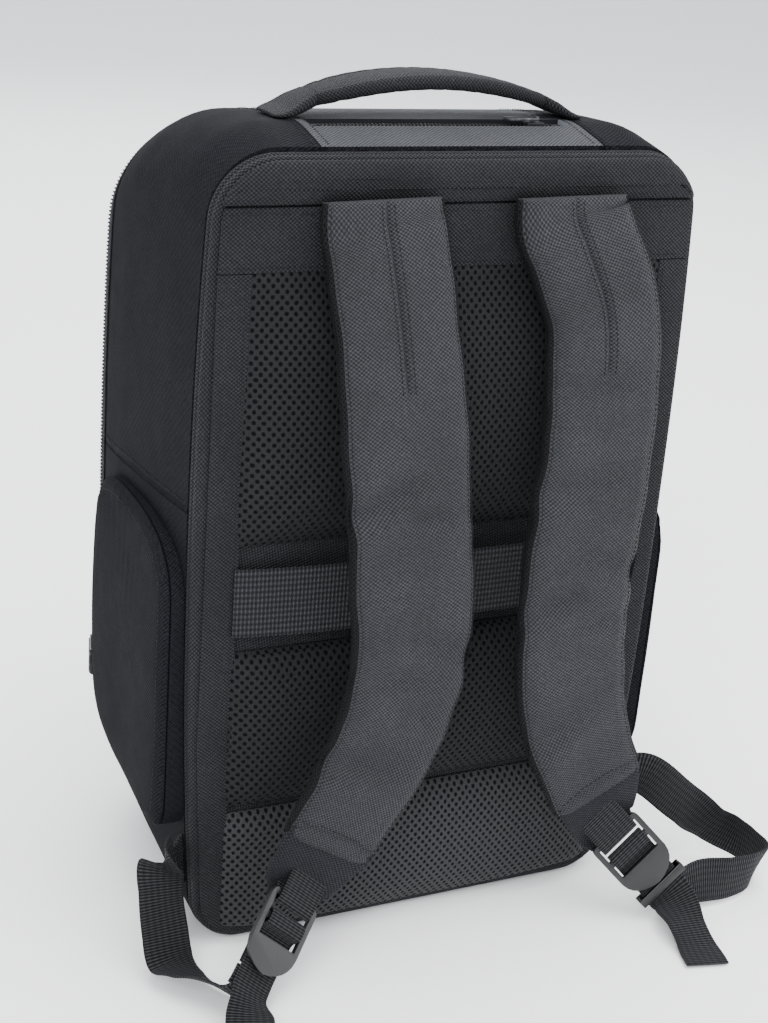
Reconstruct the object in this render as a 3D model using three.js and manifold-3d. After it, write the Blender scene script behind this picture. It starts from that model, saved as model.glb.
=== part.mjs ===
// A backpack-style carrying case for a camera drone, as separate sewn and moulded pieces.
// Millimetres, +Z up. The wearer's back is towards -Y, the zipped front lid towards +Y.
// The origin is the centre of the flat underside.
import * as THREE from "three";
import { mergeVertices } from "three/addons/utils/BufferGeometryUtils.js";
import Module from "manifold-3d";

const wasm = await Module();
wasm.setup();

// ---------------------------------------------------------------- driving dimensions
const gap = 0.3; // clearance between pieces that touch
const wall = 5; // foam-lined wall of the case
const barrel = 8.5; // how far each side bows out at its widest height
const barrelZ = 275;
// The case from its back edge to its front: y, half width, underside, top, top and bottom corner radius.
const stations = [
  [-95, 150, 2, 494, 34, 32],
  [-86, 151, 0, 498, 38, 36],
  [-51, 153.5, 0, 505.5, 44, 46],
  [-10, 155, 0, 504, 48, 58],
  [30, 156, 0, 500, 52, 72],
  [62, 155, 0, 491, 57, 80],
  [84, 150, 4, 475, 57, 80],
  [95, 138, 14, 452, 50, 70],
];
const backY = -95;
const frontY = 95;
const shellBackY = -86;
const partingY = 74; // where the lid's zipper runs round the sides and top
const lidFootZ = 62; // the lid's lower edge, where it folds
const lidOpening = gap * 2;
const sleeveBackY = -64;
const sleeveFrontY = -40;
const dividerThickness = 6;
const slotHalf = 84; // half length of the sleeve's zipper across the top
const slotY = [-58, -41];
const slotMid = (slotY[0] + slotY[1]) / 2;
const slitHalf = 3.4; // half width of the gap between the open zipper's tapes
const padHalf = 131; // the mesh pads reach this far each side
const yokeZ = [431.5, 467.5];
const upperPadZ = [270, 431];
const lumbarPadZ = [98, 204];
const lowerPadTop = 95;
const luggageStrapZ = [215, 258];
const webbingWidth = 30;
const webbingThickness = 1.8;
const strapThickness = 15;

// ---------------------------------------------------------------- colours
const colours = {
  shellFabric: [0x222428, 0.8, 0],
  panelFabric: [0x2e3034, 0.85, 0],
  mesh: [0x1d1f21, 0.9, 0],
  strapFabric: [0x3a3c40, 0.85, 0],
  webbing: [0x2c2e31, 0.8, 0],
  plastic: [0x2a2b2d, 0.45, 0],
  zipTape: [0x151618, 0.85, 0],
  metal: [0x3a3b3d, 0.4, 0.8],
  foam: [0x3c3e42, 0.95, 0],
  board: [0x101112, 0.6, 0],
  lining: [0x4a4d52, 0.9, 0],
};
const group = new THREE.Group();

function put(name, geometry, kind) {
  const [color, roughness, metalness] = colours[kind];
  const material = new THREE.MeshStandardMaterial({ color, roughness, metalness });
  const mesh = new THREE.Mesh(geometry, material);
  mesh.name = name;
  group.add(mesh);
  return mesh;
}

// ---------------------------------------------------------------- solids and booleans
function solidOf(geometry) {
  const bare = geometry.clone();
  bare.deleteAttribute("normal");
  bare.deleteAttribute("uv");
  const merged = mergeVertices(bare, 1e-4);
  const vertProperties = merged.attributes.position.array;
  const triVerts = new Uint32Array(merged.index.array);
  return new wasm.Manifold(new wasm.Mesh({ numProp: 3, vertProperties, triVerts }));
}

function geometryOf(solid) {
  const mesh = solid.getMesh();
  const positions = new Float32Array(mesh.numVert * 3);
  for (let i = 0; i < mesh.numVert; i++) {
    positions.set(mesh.vertProperties.subarray(i * mesh.numProp, i * mesh.numProp + 3), i * 3);
  }
  const geometry = new THREE.BufferGeometry();
  geometry.setAttribute("position", new THREE.BufferAttribute(positions, 3));
  geometry.setIndex(new THREE.BufferAttribute(new Uint32Array(mesh.triVerts), 1));
  return geometry;
}

function boxGeometry([x0, x1], [y0, y1], [z0, z1]) {
  const geometry = new THREE.BoxGeometry(x1 - x0, y1 - y0, z1 - z0);
  return geometry.translate((x0 + x1) / 2, (y0 + y1) / 2, (z0 + z1) / 2);
}

const boxSolid = (x, y, z) => solidOf(boxGeometry(x, y, z));

// A closed skin over rings of points that follow each other, with flat ends.
function loft(rings, closed = false) {
  const count = rings[0].length;
  const positions = rings.flat().flatMap((p) => [p.x, p.y, p.z]);
  const index = [];
  const last = closed ? rings.length : rings.length - 1;
  for (let k = 0; k < last; k++) {
    const next = (k + 1) % rings.length;
    for (let i = 0; i < count; i++) {
      const j = (i + 1) % count;
      const [a, b, c, d] = [k * count + i, k * count + j, next * count + j, next * count + i];
      index.push(a, d, c, a, c, b);
    }
  }
  if (!closed) {
    const end = (rings.length - 1) * count;
    for (let i = 1; i < count - 1; i++) {
      index.push(0, i, i + 1);
      index.push(end, end + i + 1, end + i);
    }
  }
  const geometry = new THREE.BufferGeometry();
  geometry.setAttribute("position", new THREE.Float32BufferAttribute(positions, 3));
  geometry.setIndex(index);
  if (solidOf(geometry).volume() < 0) {
    for (let i = 0; i < index.length; i += 3) [index[i + 1], index[i + 2]] = [index[i + 2], index[i + 1]];
    geometry.setIndex(index);
  }
  return geometry;
}

// ---------------------------------------------------------------- the case's outline
function stationAt(y) {
  const k = Math.min(Math.max(stations.findIndex((s) => s[0] > y), 1), stations.length - 1);
  const at = y >= frontY ? stations.length - 1 : k;
  const [a, b] = [stations[at - 1], stations[at]];
  const t = (y - a[0]) / (b[0] - a[0]);
  return a.map((value, i) => value + (b[i] - value) * t);
}

// How far the side bows out at a height.
const bow = (z) => barrel * Math.max(1 - Math.abs((z - barrelZ) / 240) ** 2.4, 0);

// The outline at y, shrunk by inset: counter-clockwise seen from the wearer's side.
function outlineAt(y, inset = 0, cornerSteps = 6) {
  const [, half, low, high, topRadius, bottomRadius] = stationAt(y);
  const sideSteps = 4;
  const points = [];
  const corner = (x, z, radius, start) => {
    for (let i = 0; i <= cornerSteps; i++) {
      const angle = start + (Math.PI / 2) * (i / cornerSteps);
      points.push([x + radius * Math.cos(angle), z + radius * Math.sin(angle)]);
    }
  };
  const side = (x, from, to) => {
    for (let i = 1; i < sideSteps; i++) points.push([x, from + ((to - from) * i) / sideSteps]);
  };
  const top = Math.max(topRadius - inset, 3);
  const bottom = Math.max(bottomRadius - inset, 3);
  const [w, z0, z1] = [half - inset, low + inset, high - inset];
  corner(w - bottom, z0 + bottom, bottom, -Math.PI / 2);
  side(w, z0 + bottom, z1 - top);
  corner(w - top, z1 - top, top, 0);
  corner(top - w, z1 - top, top, Math.PI / 2);
  side(-w, z1 - top, z0 + bottom);
  corner(bottom - w, z0 + bottom, bottom, Math.PI);
  return points.map(([x, z]) => new THREE.Vector3(x + Math.sign(x) * bow(z) * (x / half) ** 2, y, z));
}

function caseLoft(ys, inset = 0, moveY = 0) {
  return loft(ys.map((y) => outlineAt(y, inset).map((p) => p.setY(y + moveY))));
}

// A flat plate with the case's outline at the back edge, between two values of y.
function platePiece(y0, y1, inset) {
  const ring = outlineAt(backY, inset);
  return solidOf(loft([y0, y1].map((y) => ring.map((p) => p.clone().setY(y)))));
}

const innerYs = [-86, -51, -10, 30, 62, 84, 90];
const hollow = solidOf(
  loft([outlineAt(-86, wall).map((p) => p.setY(-100)), ...innerYs.map((y) => outlineAt(y, wall))]),
);
// What fits inside the case with a clearance all round.
const inside = solidOf(caseLoft(innerYs, wall + gap + 0.1));

// ---------------------------------------------------------------- case shell and lid
const outer = solidOf(caseLoft([shellBackY, -51, -10, 30, 62, 84, frontY]));
const lidZone = boxSolid([-200, 200], [partingY, 120], [lidFootZ, 600]);
const slot = boxSolid([-slotHalf, slotHalf], slotY, [470, 520]);
put("body_shell", geometryOf(outer.subtract(hollow).subtract(lidZone).subtract(slot)), "shellFabric");

const lidRegion = boxSolid([-200, 200], [partingY + lidOpening, 120], [lidFootZ + lidOpening, 600]);
put("lid_shell", geometryOf(outer.intersect(lidRegion).subtract(hollow)), "shellFabric");
const hingeStripZ = [lidFootZ - 14, lidFootZ - 0.6];
put("lid_hinge_strip", boxGeometry([-86, 86], [frontY + gap, frontY + gap + 1.2], hingeStripZ), "panelFabric");

// A zipper tape over the shell from one foot of the lid, up and over to the other.
function zipArch(y0, y1) {
  const [near, far] = [gap, gap + 1.4];
  const ringsAt = (y) => outlineAt(y, 0, 8).filter((p) => p.z > lidFootZ + 4);
  const order = (points) => {
    const right = points.filter((p) => p.x > 0);
    const left = points.filter((p) => p.x <= 0);
    return [...right, ...left];
  };
  const [a, b] = [order(ringsAt(y0)), order(ringsAt(y1))];
  const count = Math.min(a.length, b.length);
  const rings = [];
  for (let i = 0; i < count; i++) {
    const before = a[Math.max(i - 1, 0)];
    const after = a[Math.min(i + 1, count - 1)];
    const out = new THREE.Vector3(after.z - before.z, 0, before.x - after.x).normalize();
    const at = (p, distance) => p.clone().addScaledVector(out, distance);
    rings.push([at(a[i], near), at(b[i], near), at(b[i], far), at(a[i], far)]);
  }
  return loft(rings);
}
put("main_zip_tape_body", zipArch(65, partingY - gap), "zipTape");
put("main_zip_tape_lid", zipArch(partingY + lidOpening, 83), "zipTape");

// A mesh pocket inside the lid, open at its top and behind.
const pocketZ = [110, 290];
const meshPocket = boxSolid([-110, 110], [81, 89.6], pocketZ).subtract(
  boxSolid([-107.5, 107.5], [83, 95], [pocketZ[0] + 2.5, 320]),
);
put("lid_mesh_pocket", geometryOf(meshPocket), "mesh");

// ---------------------------------------------------------------- back panel
put("back_frame", geometryOf(platePiece(-96, -90.5, 0.5)), "panelFabric");
put("back_board", geometryOf(platePiece(-90.2, -86.4, 7)), "board");
const foamCore = solidOf(caseLoft([-85.9, sleeveBackY], wall + gap + 0.1));
put("back_pad_core", geometryOf(foamCore), "foam");

// The piped edge between the back panel and the sides: a cord round the whole outline.
function piping(y, radius, sides = 6) {
  const line = outlineAt(backY, 2.3 + radius);
  const rings = line.map((p, i) => {
    const before = line[(i + line.length - 1) % line.length];
    const after = line[(i + 1) % line.length];
    const out = new THREE.Vector3(after.z - before.z, 0, before.x - after.x).normalize();
    return Array.from({ length: sides }, (_, k) => {
      const angle = (2 * Math.PI * k) / sides;
      const point = p.clone().setY(y + radius * Math.sin(angle));
      return point.addScaledVector(out, radius * Math.cos(angle));
    });
  });
  return loft(rings, true);
}
put("back_piping", piping(-88.3, 1.9), "panelFabric");

// A panel piece: the back outline between two values of x and z, with a thickness towards the wearer.
const panelFace = -96.3;
const panelPiece = (x, z, thickness, inset = 4) =>
  platePiece(panelFace - thickness, panelFace, inset).intersect(boxSolid(x, [-140, 0], z));
put("top_pad", geometryOf(panelPiece([-160, 160], [yokeZ[1] + gap, 600], 5)), "panelFabric");
put("yoke_strip", geometryOf(panelPiece([-160, 160], yokeZ, 2)), "panelFabric");
put("binding_left", geometryOf(panelPiece([-160, -padHalf - gap], [-10, yokeZ[0] - gap], 2)), "panelFabric");
put("binding_right", geometryOf(panelPiece([padHalf + gap, 160], [-10, yokeZ[0] - gap], 2)), "panelFabric");

// A crowned pad: a plate whose front edges are cut back.
function crownedPad(z, thickness, edge = 9) {
  const [z0, z1] = z;
  const level = (shrink, y) =>
    [
      [padHalf - shrink, z0 + shrink],
      [padHalf - shrink, z1 - shrink],
      [shrink - padHalf, z1 - shrink],
      [shrink - padHalf, z0 + shrink],
    ].map(([x, zz]) => new THREE.Vector3(x, y, zz));
  const front = panelFace - thickness;
  return solidOf(loft([level(edge, front), level(edge * 0.3, front + thickness * 0.3), level(0, panelFace)]));
}
put("upper_back_pad", geometryOf(crownedPad(upperPadZ, 12)), "mesh");
put("lumbar_pad", geometryOf(crownedPad(lumbarPadZ, 13)), "mesh");
const lowerPad = crownedPad([-4, lowerPadTop], 11).intersect(platePiece(-140, 0, 4));
put("lower_back_pad", geometryOf(lowerPad), "mesh");

// ---------------------------------------------------------------- strips, webbing and padded straps
// A flat band along a route of points; each route point is [x, y, z] and each turn is the direction
// across the band there.
function band(route, across, width, thickness, steps) {
  const line = new THREE.CatmullRomCurve3(route.map((p) => new THREE.Vector3(...p)), false, "centripetal");
  const turns = new THREE.CatmullRomCurve3(across.map((p) => new THREE.Vector3(...p)), false, "centripetal");
  const rings = [];
  for (let i = 0; i <= steps; i++) {
    const t = i / steps;
    const centre = line.getPoint(t);
    const along = line.getTangent(t);
    const side = turns.getPoint(t).projectOnPlane(along).normalize();
    const face = side.clone().cross(along).normalize();
    const wide = typeof width === "function" ? width(t) : width;
    const at = (s, f) => centre.clone().addScaledVector(side, (s * wide) / 2).addScaledVector(face, f);
    rings.push([
      at(-1, -thickness / 2),
      at(1, -thickness / 2),
      at(1, thickness / 2),
      at(-1, thickness / 2),
    ]);
  }
  return loft(rings);
}

const luggageRoute = [
  [-134, -99.6],
  [-118, -102.4],
  [-80, -106],
  [0, -107],
  [80, -106],
  [118, -102.4],
  [134, -99.6],
];
const luggageMid = (luggageStrapZ[0] + luggageStrapZ[1]) / 2;
const luggageWidth = luggageStrapZ[1] - luggageStrapZ[0];
put(
  "luggage_strap",
  band(
    luggageRoute.map(([x, y]) => [x, y, luggageMid]),
    luggageRoute.map(() => [0, 0, 1]),
    luggageWidth,
    webbingThickness,
    24,
  ),
  "webbing",
);

// A padded strap: rounded sections along a route, each square to it.
function paddedStrap(route, widths, thicknesses, steps) {
  const line = new THREE.CatmullRomCurve3(route.map((p) => new THREE.Vector3(...p)), false, "centripetal");
  const mix = (values, t) => {
    const k = Math.min(Math.floor(t * (values.length - 1)), values.length - 2);
    return values[k] + (values[k + 1] - values[k]) * (t * (values.length - 1) - k);
  };
  const rings = [];
  for (let i = 0; i <= steps; i++) {
    const t = i / steps;
    const centre = line.getPoint(t);
    const along = line.getTangent(t);
    const face = new THREE.Vector3(0, -1, 0).projectOnPlane(along).normalize();
    const side = along.clone().cross(face).normalize();
    const [halfWide, halfThick] = [mix(widths, t) / 2, mix(thicknesses, t) / 2];
    rings.push(
      [
        [-1, -0.4],
        [-0.88, -1],
        [0.88, -1],
        [1, -0.4],
        [1, 0.4],
        [0.88, 1],
        [-0.88, 1],
        [-1, 0.4],
      ].map(([s, f]) =>
        centre.clone().addScaledVector(side, s * halfWide).addScaledVector(face, f * halfThick),
      ),
    );
  }
  return loft(rings);
}

// The two shoulder straps lie a little differently, as loose straps do.
const strapRoutes = {
  left: [
    [-60, -107.5, 472.5],
    [-59.6, -108.6, 461],
    [-57, -111, 446],
    [-53, -120, 410],
    [-50, -130, 370],
    [-46, -137, 322],
    [-41, -141, 268],
    [-37, -142, 222],
    [-41, -142, 182],
    [-51, -142, 149],
    [-67, -143, 119],
    [-86, -145, 88.5],
  ],
  right: [
    [60, -107.5, 472.5],
    [60.4, -108.8, 461],
    [67, -113.6, 444],
    [79, -122, 410],
    [82, -128, 370],
    [79, -136, 322],
    [74, -140, 272],
    [72, -142, 226],
    [75, -142, 185],
    [84, -142, 145],
    [95, -142, 118],
    [108, -142, 91.5],
  ],
};
const strapWidths = [72, 74, 76, 78, 78, 76, 72, 66];
const tabWidths = [64, 36]; // the fabric tab at each strap's end
const strapThicknesses = [12, strapThickness, strapThickness, strapThickness, strapThickness, 14, 11];

// The frame of a buckle: where its top bar is, which way it hangs, and the way its face looks.
const buckles = {
  left: { bar: [-105, -148, 58.5], hang: [-0.6, -0.45, -0.66] },
  right: { bar: [122, -146, 60.5], hang: [0.62, -0.35, -0.7] },
};
for (const frame of Object.values(buckles)) {
  frame.origin = new THREE.Vector3(...frame.bar);
  frame.down = new THREE.Vector3(...frame.hang).normalize();
  frame.face = new THREE.Vector3(0, -1, 0).projectOnPlane(frame.down).normalize();
  frame.across = frame.down.clone().cross(frame.face).normalize();
  frame.matrix = new THREE.Matrix4()
    .makeBasis(frame.across, frame.down, frame.face.clone())
    .setPosition(frame.origin);
  // [along the bar, down the buckle, out of its face] to the case's frame
  frame.at = (x, y, z) => new THREE.Vector3(x, y, z).applyMatrix4(frame.matrix).toArray();
}

// A ladder lock: an outline with two slots and a tongue. Its top bar lies on the x axis.
const buckleHalf = webbingWidth / 2 + 4.5;
const slotHalfWidth = webbingWidth / 2 + 0.8;
const buckleThickness = 3.4;
function ladderLock(frame) {
  const outline = new THREE.Shape();
  const corner = 4;
  outline.moveTo(-buckleHalf + corner, -2);
  outline.lineTo(buckleHalf - corner, -2);
  outline.quadraticCurveTo(buckleHalf, -2, buckleHalf, 3);
  outline.lineTo(buckleHalf, 30);
  outline.quadraticCurveTo(buckleHalf - 1, 44, 0, 47);
  outline.quadraticCurveTo(1 - buckleHalf, 44, -buckleHalf, 30);
  outline.lineTo(-buckleHalf, 3);
  outline.quadraticCurveTo(-buckleHalf, -2, -buckleHalf + corner, -2);
  const slotAt = (from, to) => {
    const hole = new THREE.Path();
    hole.moveTo(-slotHalfWidth, from);
    hole.lineTo(-slotHalfWidth, to);
    hole.lineTo(slotHalfWidth, to);
    hole.lineTo(slotHalfWidth, from);
    hole.closePath();
    return hole;
  };
  outline.holes.push(slotAt(2, 13), slotAt(17, 27));
  const geometry = new THREE.ExtrudeGeometry(outline, {
    depth: buckleThickness,
    bevelEnabled: false,
    curveSegments: 6,
  });
  geometry.translate(0, 0, -buckleThickness / 2);
  return moved(geometry, frame.matrix);
}

// Moves a closed geometry by a matrix and turns its faces back out if the matrix mirrors it.
function moved(geometry, matrix) {
  const result = (geometry.index ? geometry.toNonIndexed() : geometry.clone()).applyMatrix4(matrix);
  if (matrix.determinant() < 0) {
    const p = result.attributes.position;
    for (let i = 0; i < p.count; i += 3) {
      const [ax, ay, az] = [p.getX(i + 1), p.getY(i + 1), p.getZ(i + 1)];
      p.setXYZ(i + 1, p.getX(i + 2), p.getY(i + 2), p.getZ(i + 2));
      p.setXYZ(i + 2, ax, ay, az);
    }
  }
  return result;
}

// The slack webbing from each corner tab to behind its buckle, and the direction across it.
const slackRoutes = {
  left: {
    route: [
      [-160, -88, 66],
      [-170, -93, 62],
      [-173, -101, 48],
      [-173, -110, 28],
      [-172, -121, 12],
      [-166, -135, 11],
      [-156, -150, 12.6],
      [-150.4, -161, 13.2],
      [-147.6, -167.2, 14.4],
      [-145.6, -169.2, 15.4],
    ],
    across: [
      [-0.5, -0.3, -0.8],
      [-0.8, -0.2, -0.55],
      [-1, -0.2, 0],
      [-1, -0.1, 0],
      [-1, 0, 0.1],
      [-0.92, 0, 0.35],
      [-0.8, 0, 0.6],
      [-0.74, 0, 0.67],
      [-0.74, 0, 0.67],
      [-0.74, 0, 0.67],
    ],
  },
  right: {
    route: [
      [161, -88, 66],
      [178, -93, 66],
      [204, -103, 46],
      [228, -110, 27],
      [242, -119, 20],
      [247, -133, 18],
      [244, -148, 17],
      [232, -158, 17],
      [211, -161, 17],
      [187, -159, 18],
    ],
    across: [
      [0.4, 0, -0.9],
      [0.3, -0.2, -0.9],
      [0.5, -0.3, -0.8],
      [0.3, 0, -0.95],
      [0, 0, -1],
      [0, 0, -1],
      [-0.1, 0.4, -0.85],
      [-0.1, 0.1, -0.95],
      [-0.2, -0.1, -0.95],
      [-0.5, -0.2, -0.8],
    ],
  },
};

for (const side of ["left", "right"]) {
  const frame = buckles[side];
  const sign = side === "left" ? -1 : 1;
  put(`strap_pad_${side}`, paddedStrap(strapRoutes[side], strapWidths, strapThicknesses, 26), "strapFabric");

  // The fabric tab past the pad's end, which the short buckle webbing lies on.
  const barAcross = [frame.across.toArray(), frame.across.toArray()];
  const tabRoute = [-31, -18, -6, 6].map((y) => frame.at(0, y, -6.3));
  const endTab = band(tabRoute, barAcross, (t) => tabWidths[0] + (tabWidths[1] - tabWidths[0]) * t, 2, 6);
  put(`strap_end_${side}`, endTab, "strapFabric");

  // Short webbing looped round the buckle's top bar.
  const loopRoute = [
    [0, -28, 3.8],
    [0, -12, 3.8],
    [0, -3, 3.7],
    [0, 2, 3.6],
    [0, 5.2, 2.2],
    [0, 6, 0],
    [0, 5.2, -2.2],
    [0, 2, -3.6],
    [0, -3, -3.7],
    [0, -12, -3.8],
    [0, -28, -3.8],
  ].map(([x, y, z]) => frame.at(x, y, z));
  put(`buckle_webbing_${side}`, band(loopRoute, barAcross, webbingWidth - 1, 1.5, 30), "webbing");
  put(`ladder_lock_${side}`, ladderLock(frame), "plastic");

  // The adjusting webbing through the buckle: up behind it, over the middle bar and down as the tail.
  const tailRoute = [
    [0, 46, -5.6],
    [0, 36, -5.6],
    [0, 24, -5.4],
    [0, 15, -4.6],
    [0, 10.6, -2.4],
    [0, 10.2, 0.5],
    [0, 11.6, 3],
    [0, 15, 3.6],
    [0, 19, 3],
    [0, 20.6, 0.6],
    [0, 22.4, -1.8],
    [0, 28, -3],
    [0, 40, -3.1],
    [0, 52, -3],
    [0, 60, -1.6],
  ].map(([x, y, z]) => frame.at(x, y, z));
  const floorTail = {
    left: [
      [-148, -193, 8],
      [-155, -206, 2.5],
      [-164, -222, 1.5],
    ],
    right: [
      [159, -188, 9],
      [158, -203, 2.5],
      [154, -221, 1.5],
    ],
  }[side];
  const floorAcross = { left: [-0.82, 0.57, 0], right: [-0.97, -0.22, 0] }[side];
  const tailAcross = [...tailRoute.map(() => frame.across.toArray()), ...floorTail.map(() => floorAcross)];
  const tail = band([...tailRoute, ...floorTail], tailAcross, webbingWidth - 1, 1.3, 64);
  put(`webbing_tail_${side}`, tail, "webbing");

  // The keeper: a flat loop that holds the tail and the loaded strand together.
  const keeperHalf = webbingWidth / 2 + 4;
  const keeper = boxSolid([-keeperHalf, keeperHalf], [48.5, 54.5], [-9.6, -0.2]).subtract(
    boxSolid([-webbingWidth / 2 - 2, webbingWidth / 2 + 2], [40, 60], [-8.4, -1.4]),
  );
  if (side === "right") put("webbing_keeper", moved(geometryOf(keeper), frame.matrix), "plastic");

  const slack = slackRoutes[side];
  slack.route.push(frame.at(0, 61, -7.4), frame.at(0, 55, -5.9), frame.at(0, 47.4, -5.6));
  for (let i = 0; i < 3; i++) slack.across.push(frame.across.toArray());
  put(`slack_webbing_${side}`, band(slack.route, slack.across, webbingWidth, webbingThickness, 40), "webbing");

  // The triangular tab sewn into the bottom corner, which holds the slack webbing.
  const sideX = (y, z) => stationAt(y)[1] + bow(z) + gap;
  const tabRing = (y) =>
    [
      [sideX(y, 77), 77],
      [sideX(y, 40), 40],
      [sideX(y, 50) + 8, 54],
      [sideX(y, 68) + 6, 68],
    ].map(([x, z]) => new THREE.Vector3(sign * x, y, z));
  put(`corner_tab_${side}`, loft([tabRing(-84.5), tabRing(-81)]), "panelFabric");
}

// ---------------------------------------------------------------- carry handle
const handleY = [-46, -8];
const handleMid = (handleY[0] + handleY[1]) / 2;
const handleHalf = 74; // where the grip meets its sewn-down ends
const handleEndHalf = 102;
const handleTopZ = 531;
const handleRootZ = 515.5;
const caseTopZ = 505.5;

// The grip's section at x: rounded, narrower and thinner towards the ends.
function gripSection(x, z, out, halfWide, halfThick) {
  return [
    [-1, 0],
    [-0.8, -1],
    [0.8, -1],
    [1, 0],
    [0.8, 1],
    [-0.8, 1],
  ].map(([s, f]) =>
    new THREE.Vector3(x, handleMid + s * halfWide, z).addScaledVector(out, f * halfThick),
  );
}

function handleArch() {
  const rings = [];
  const steps = 24;
  const rise = handleTopZ - 4.5 - handleRootZ;
  for (let i = 0; i <= steps; i++) {
    const t = (i / steps) * 2 - 1;
    const z = handleRootZ + rise * (1 - Math.abs(t) ** 2);
    const slope = (-rise * 2 * t) / handleHalf;
    const out = new THREE.Vector3(-slope * (1 - t ** 6), 0, 1).normalize();
    rings.push(gripSection(handleHalf * t, z, out, 19 - 5 * t ** 6, 4.6 - 0.8 * t ** 4));
  }
  return loft(rings);
}
put("handle_grip", handleArch(), "panelFabric");
for (const [side, sign] of [["left", -1], ["right", 1]]) {
  const up = new THREE.Vector3(0, 0, 1);
  const sections = [
    [handleHalf + 0.4, handleRootZ, 14, 3.8],
    [handleHalf + 9, handleRootZ - 3.6, 18, 3.4],
    [handleHalf + 18, caseTopZ + gap + 2.3, 22, 2],
    [handleEndHalf, caseTopZ + gap + 0.9, 23, 0.8],
  ];
  const rings = sections.map(([x, z, wide, thick]) => gripSection(sign * x, z, up, wide, thick));
  put(`handle_end_${side}`, loft(rings), "panelFabric");
}

// ---------------------------------------------------------------- inside the case
const insidePiece = (x, y, z) => geometryOf(inside.intersect(boxSolid(x, y, z)));
const bayY = [sleeveFrontY + dividerThickness + gap, 66];
put("sleeve_divider", insidePiece([-200, 200], [sleeveFrontY, sleeveFrontY + dividerThickness], [0, 600]), "lining");
const lowerShelf = [166, 174];
const upperShelf = [330, 338];
put("divider_lower", insidePiece([-200, 200], bayY, lowerShelf), "lining");
put("divider_upper", insidePiece([-200, 200], bayY, upperShelf), "lining");
put("divider_lower_upright", insidePiece([-4, 4], bayY, [0, lowerShelf[0] - gap]), "lining");
put("divider_upper_upright", insidePiece([36, 44], bayY, [upperShelf[1] + gap, 600]), "lining");

// ---------------------------------------------------------------- the sleeve's zipper tape
const tape = boxSolid([-slotHalf + gap, slotHalf - gap], [slotY[0] + gap, slotY[1] - gap], [500.8, 502.4]);
const slit = boxSolid([-slotHalf + 5, slotHalf - 5], [slotMid - slitHalf, slotMid + slitHalf], [490, 510]);
put("top_zip_tape", geometryOf(tape.subtract(slit)), "zipTape");

// ---------------------------------------------------------------- side pockets and the front pocket
// A rounded rectangle in two coordinates, counter-clockwise.
function roundedRectangle([u0, u1], [v0, v1], radii, steps = 4) {
  const [a, b, c, d] = radii; // low-low, high-low, high-high, low-high
  const points = [];
  const corner = (u, v, radius, start) => {
    for (let i = 0; i <= steps; i++) {
      const angle = start + (Math.PI / 2) * (i / steps);
      points.push([u + radius * Math.cos(angle), v + radius * Math.sin(angle)]);
    }
  };
  corner(u0 + a, v0 + a, a, Math.PI);
  corner(u1 - b, v0 + b, b, -Math.PI / 2);
  corner(u1 - c, v1 - c, c, 0);
  corner(u0 + d, v1 - d, d, Math.PI / 2);
  return points;
}

// Each side pocket's outline, y and z: straight edges, a gently arched top and a drawn-in foot.
const pocketOutline = [
  [-88, 92],
  [-88, 240],
  [-84, 254],
  [-70, 266],
  [-48, 273],
  [-20, 275.5],
  [14, 275.5],
  [36, 271],
  [51, 259],
  [58, 240],
  [60, 215],
  [60, 130],
  [56, 108],
  [42, 92],
  [14, 84],
  [-40, 79],
  [-78, 79],
];
const pocketFoot = 148; // inside the case wall
const pocketPart = 168; // the zipper runs round the gusset here
const pocketOut = 174;
const pocketWall = 2.6;
const skin = solidOf(caseLoft([-95, shellBackY, -51, -10, 30, 62, 84, frontY], -gap - 0.1));

// The outline moved in by a distance, square to its edges.
function movedIn(outline, inset) {
  return outline.map(([u, v], i) => {
    const [u0, v0] = outline[(i + outline.length - 1) % outline.length];
    const [u1, v1] = outline[(i + 1) % outline.length];
    const [du, dv] = [u1 - u0, v1 - v0];
    const length = Math.hypot(du, dv);
    return [u + (dv / length) * inset, v - (du / length) * inset];
  });
}
for (const [side, sign] of [["left", -1], ["right", 1]]) {
  const ring = ([out, inset]) =>
    movedIn(pocketOutline, inset).map(([y, z]) => new THREE.Vector3(sign * out, y, z));
  const full = solidOf(
    loft([[pocketFoot, 0], [pocketPart, 0], [pocketPart + 4, 2], [pocketOut, 8]].map(ring)),
  );
  const coreLevels = [[pocketFoot - 5, 0], [pocketPart, 0], [pocketPart + 2, 1.2], [pocketOut - pocketWall, 7]];
  const core = solidOf(loft(coreLevels.map(([out, inset]) => ring([out, inset + pocketWall]))));
  const dishSolid = full.subtract(core).subtract(skin);
  const x = (from, to) => [sign * from, sign * to].sort((a, b) => a - b);
  const inner = boxSolid(x(100, pocketPart - gap), [-200, 200], [0, 400]);
  const outerHalf = boxSolid(x(pocketPart + gap, 260), [-200, 200], [0, 400]);
  put(`pocket_gusset_${side}`, geometryOf(dishSolid.intersect(inner)), "shellFabric");
  put(`pocket_cover_${side}`, geometryOf(dishSolid.intersect(outerHalf)), "shellFabric");
}

// A dish on one face of the case: levels of [distance out, inset of the outline].
function dish(outline, levels, place) {
  const rings = levels.map(([out, inset]) => {
    const [u, v, radii] = outline;
    const smaller = radii.map((r) => Math.max(r - inset, 2));
    return roundedRectangle([u[0] + inset, u[1] - inset], [v[0] + inset, v[1] - inset], smaller).map(([a, b]) =>
      place(a, b, out),
    );
  });
  return solidOf(loft(rings));
}

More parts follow.
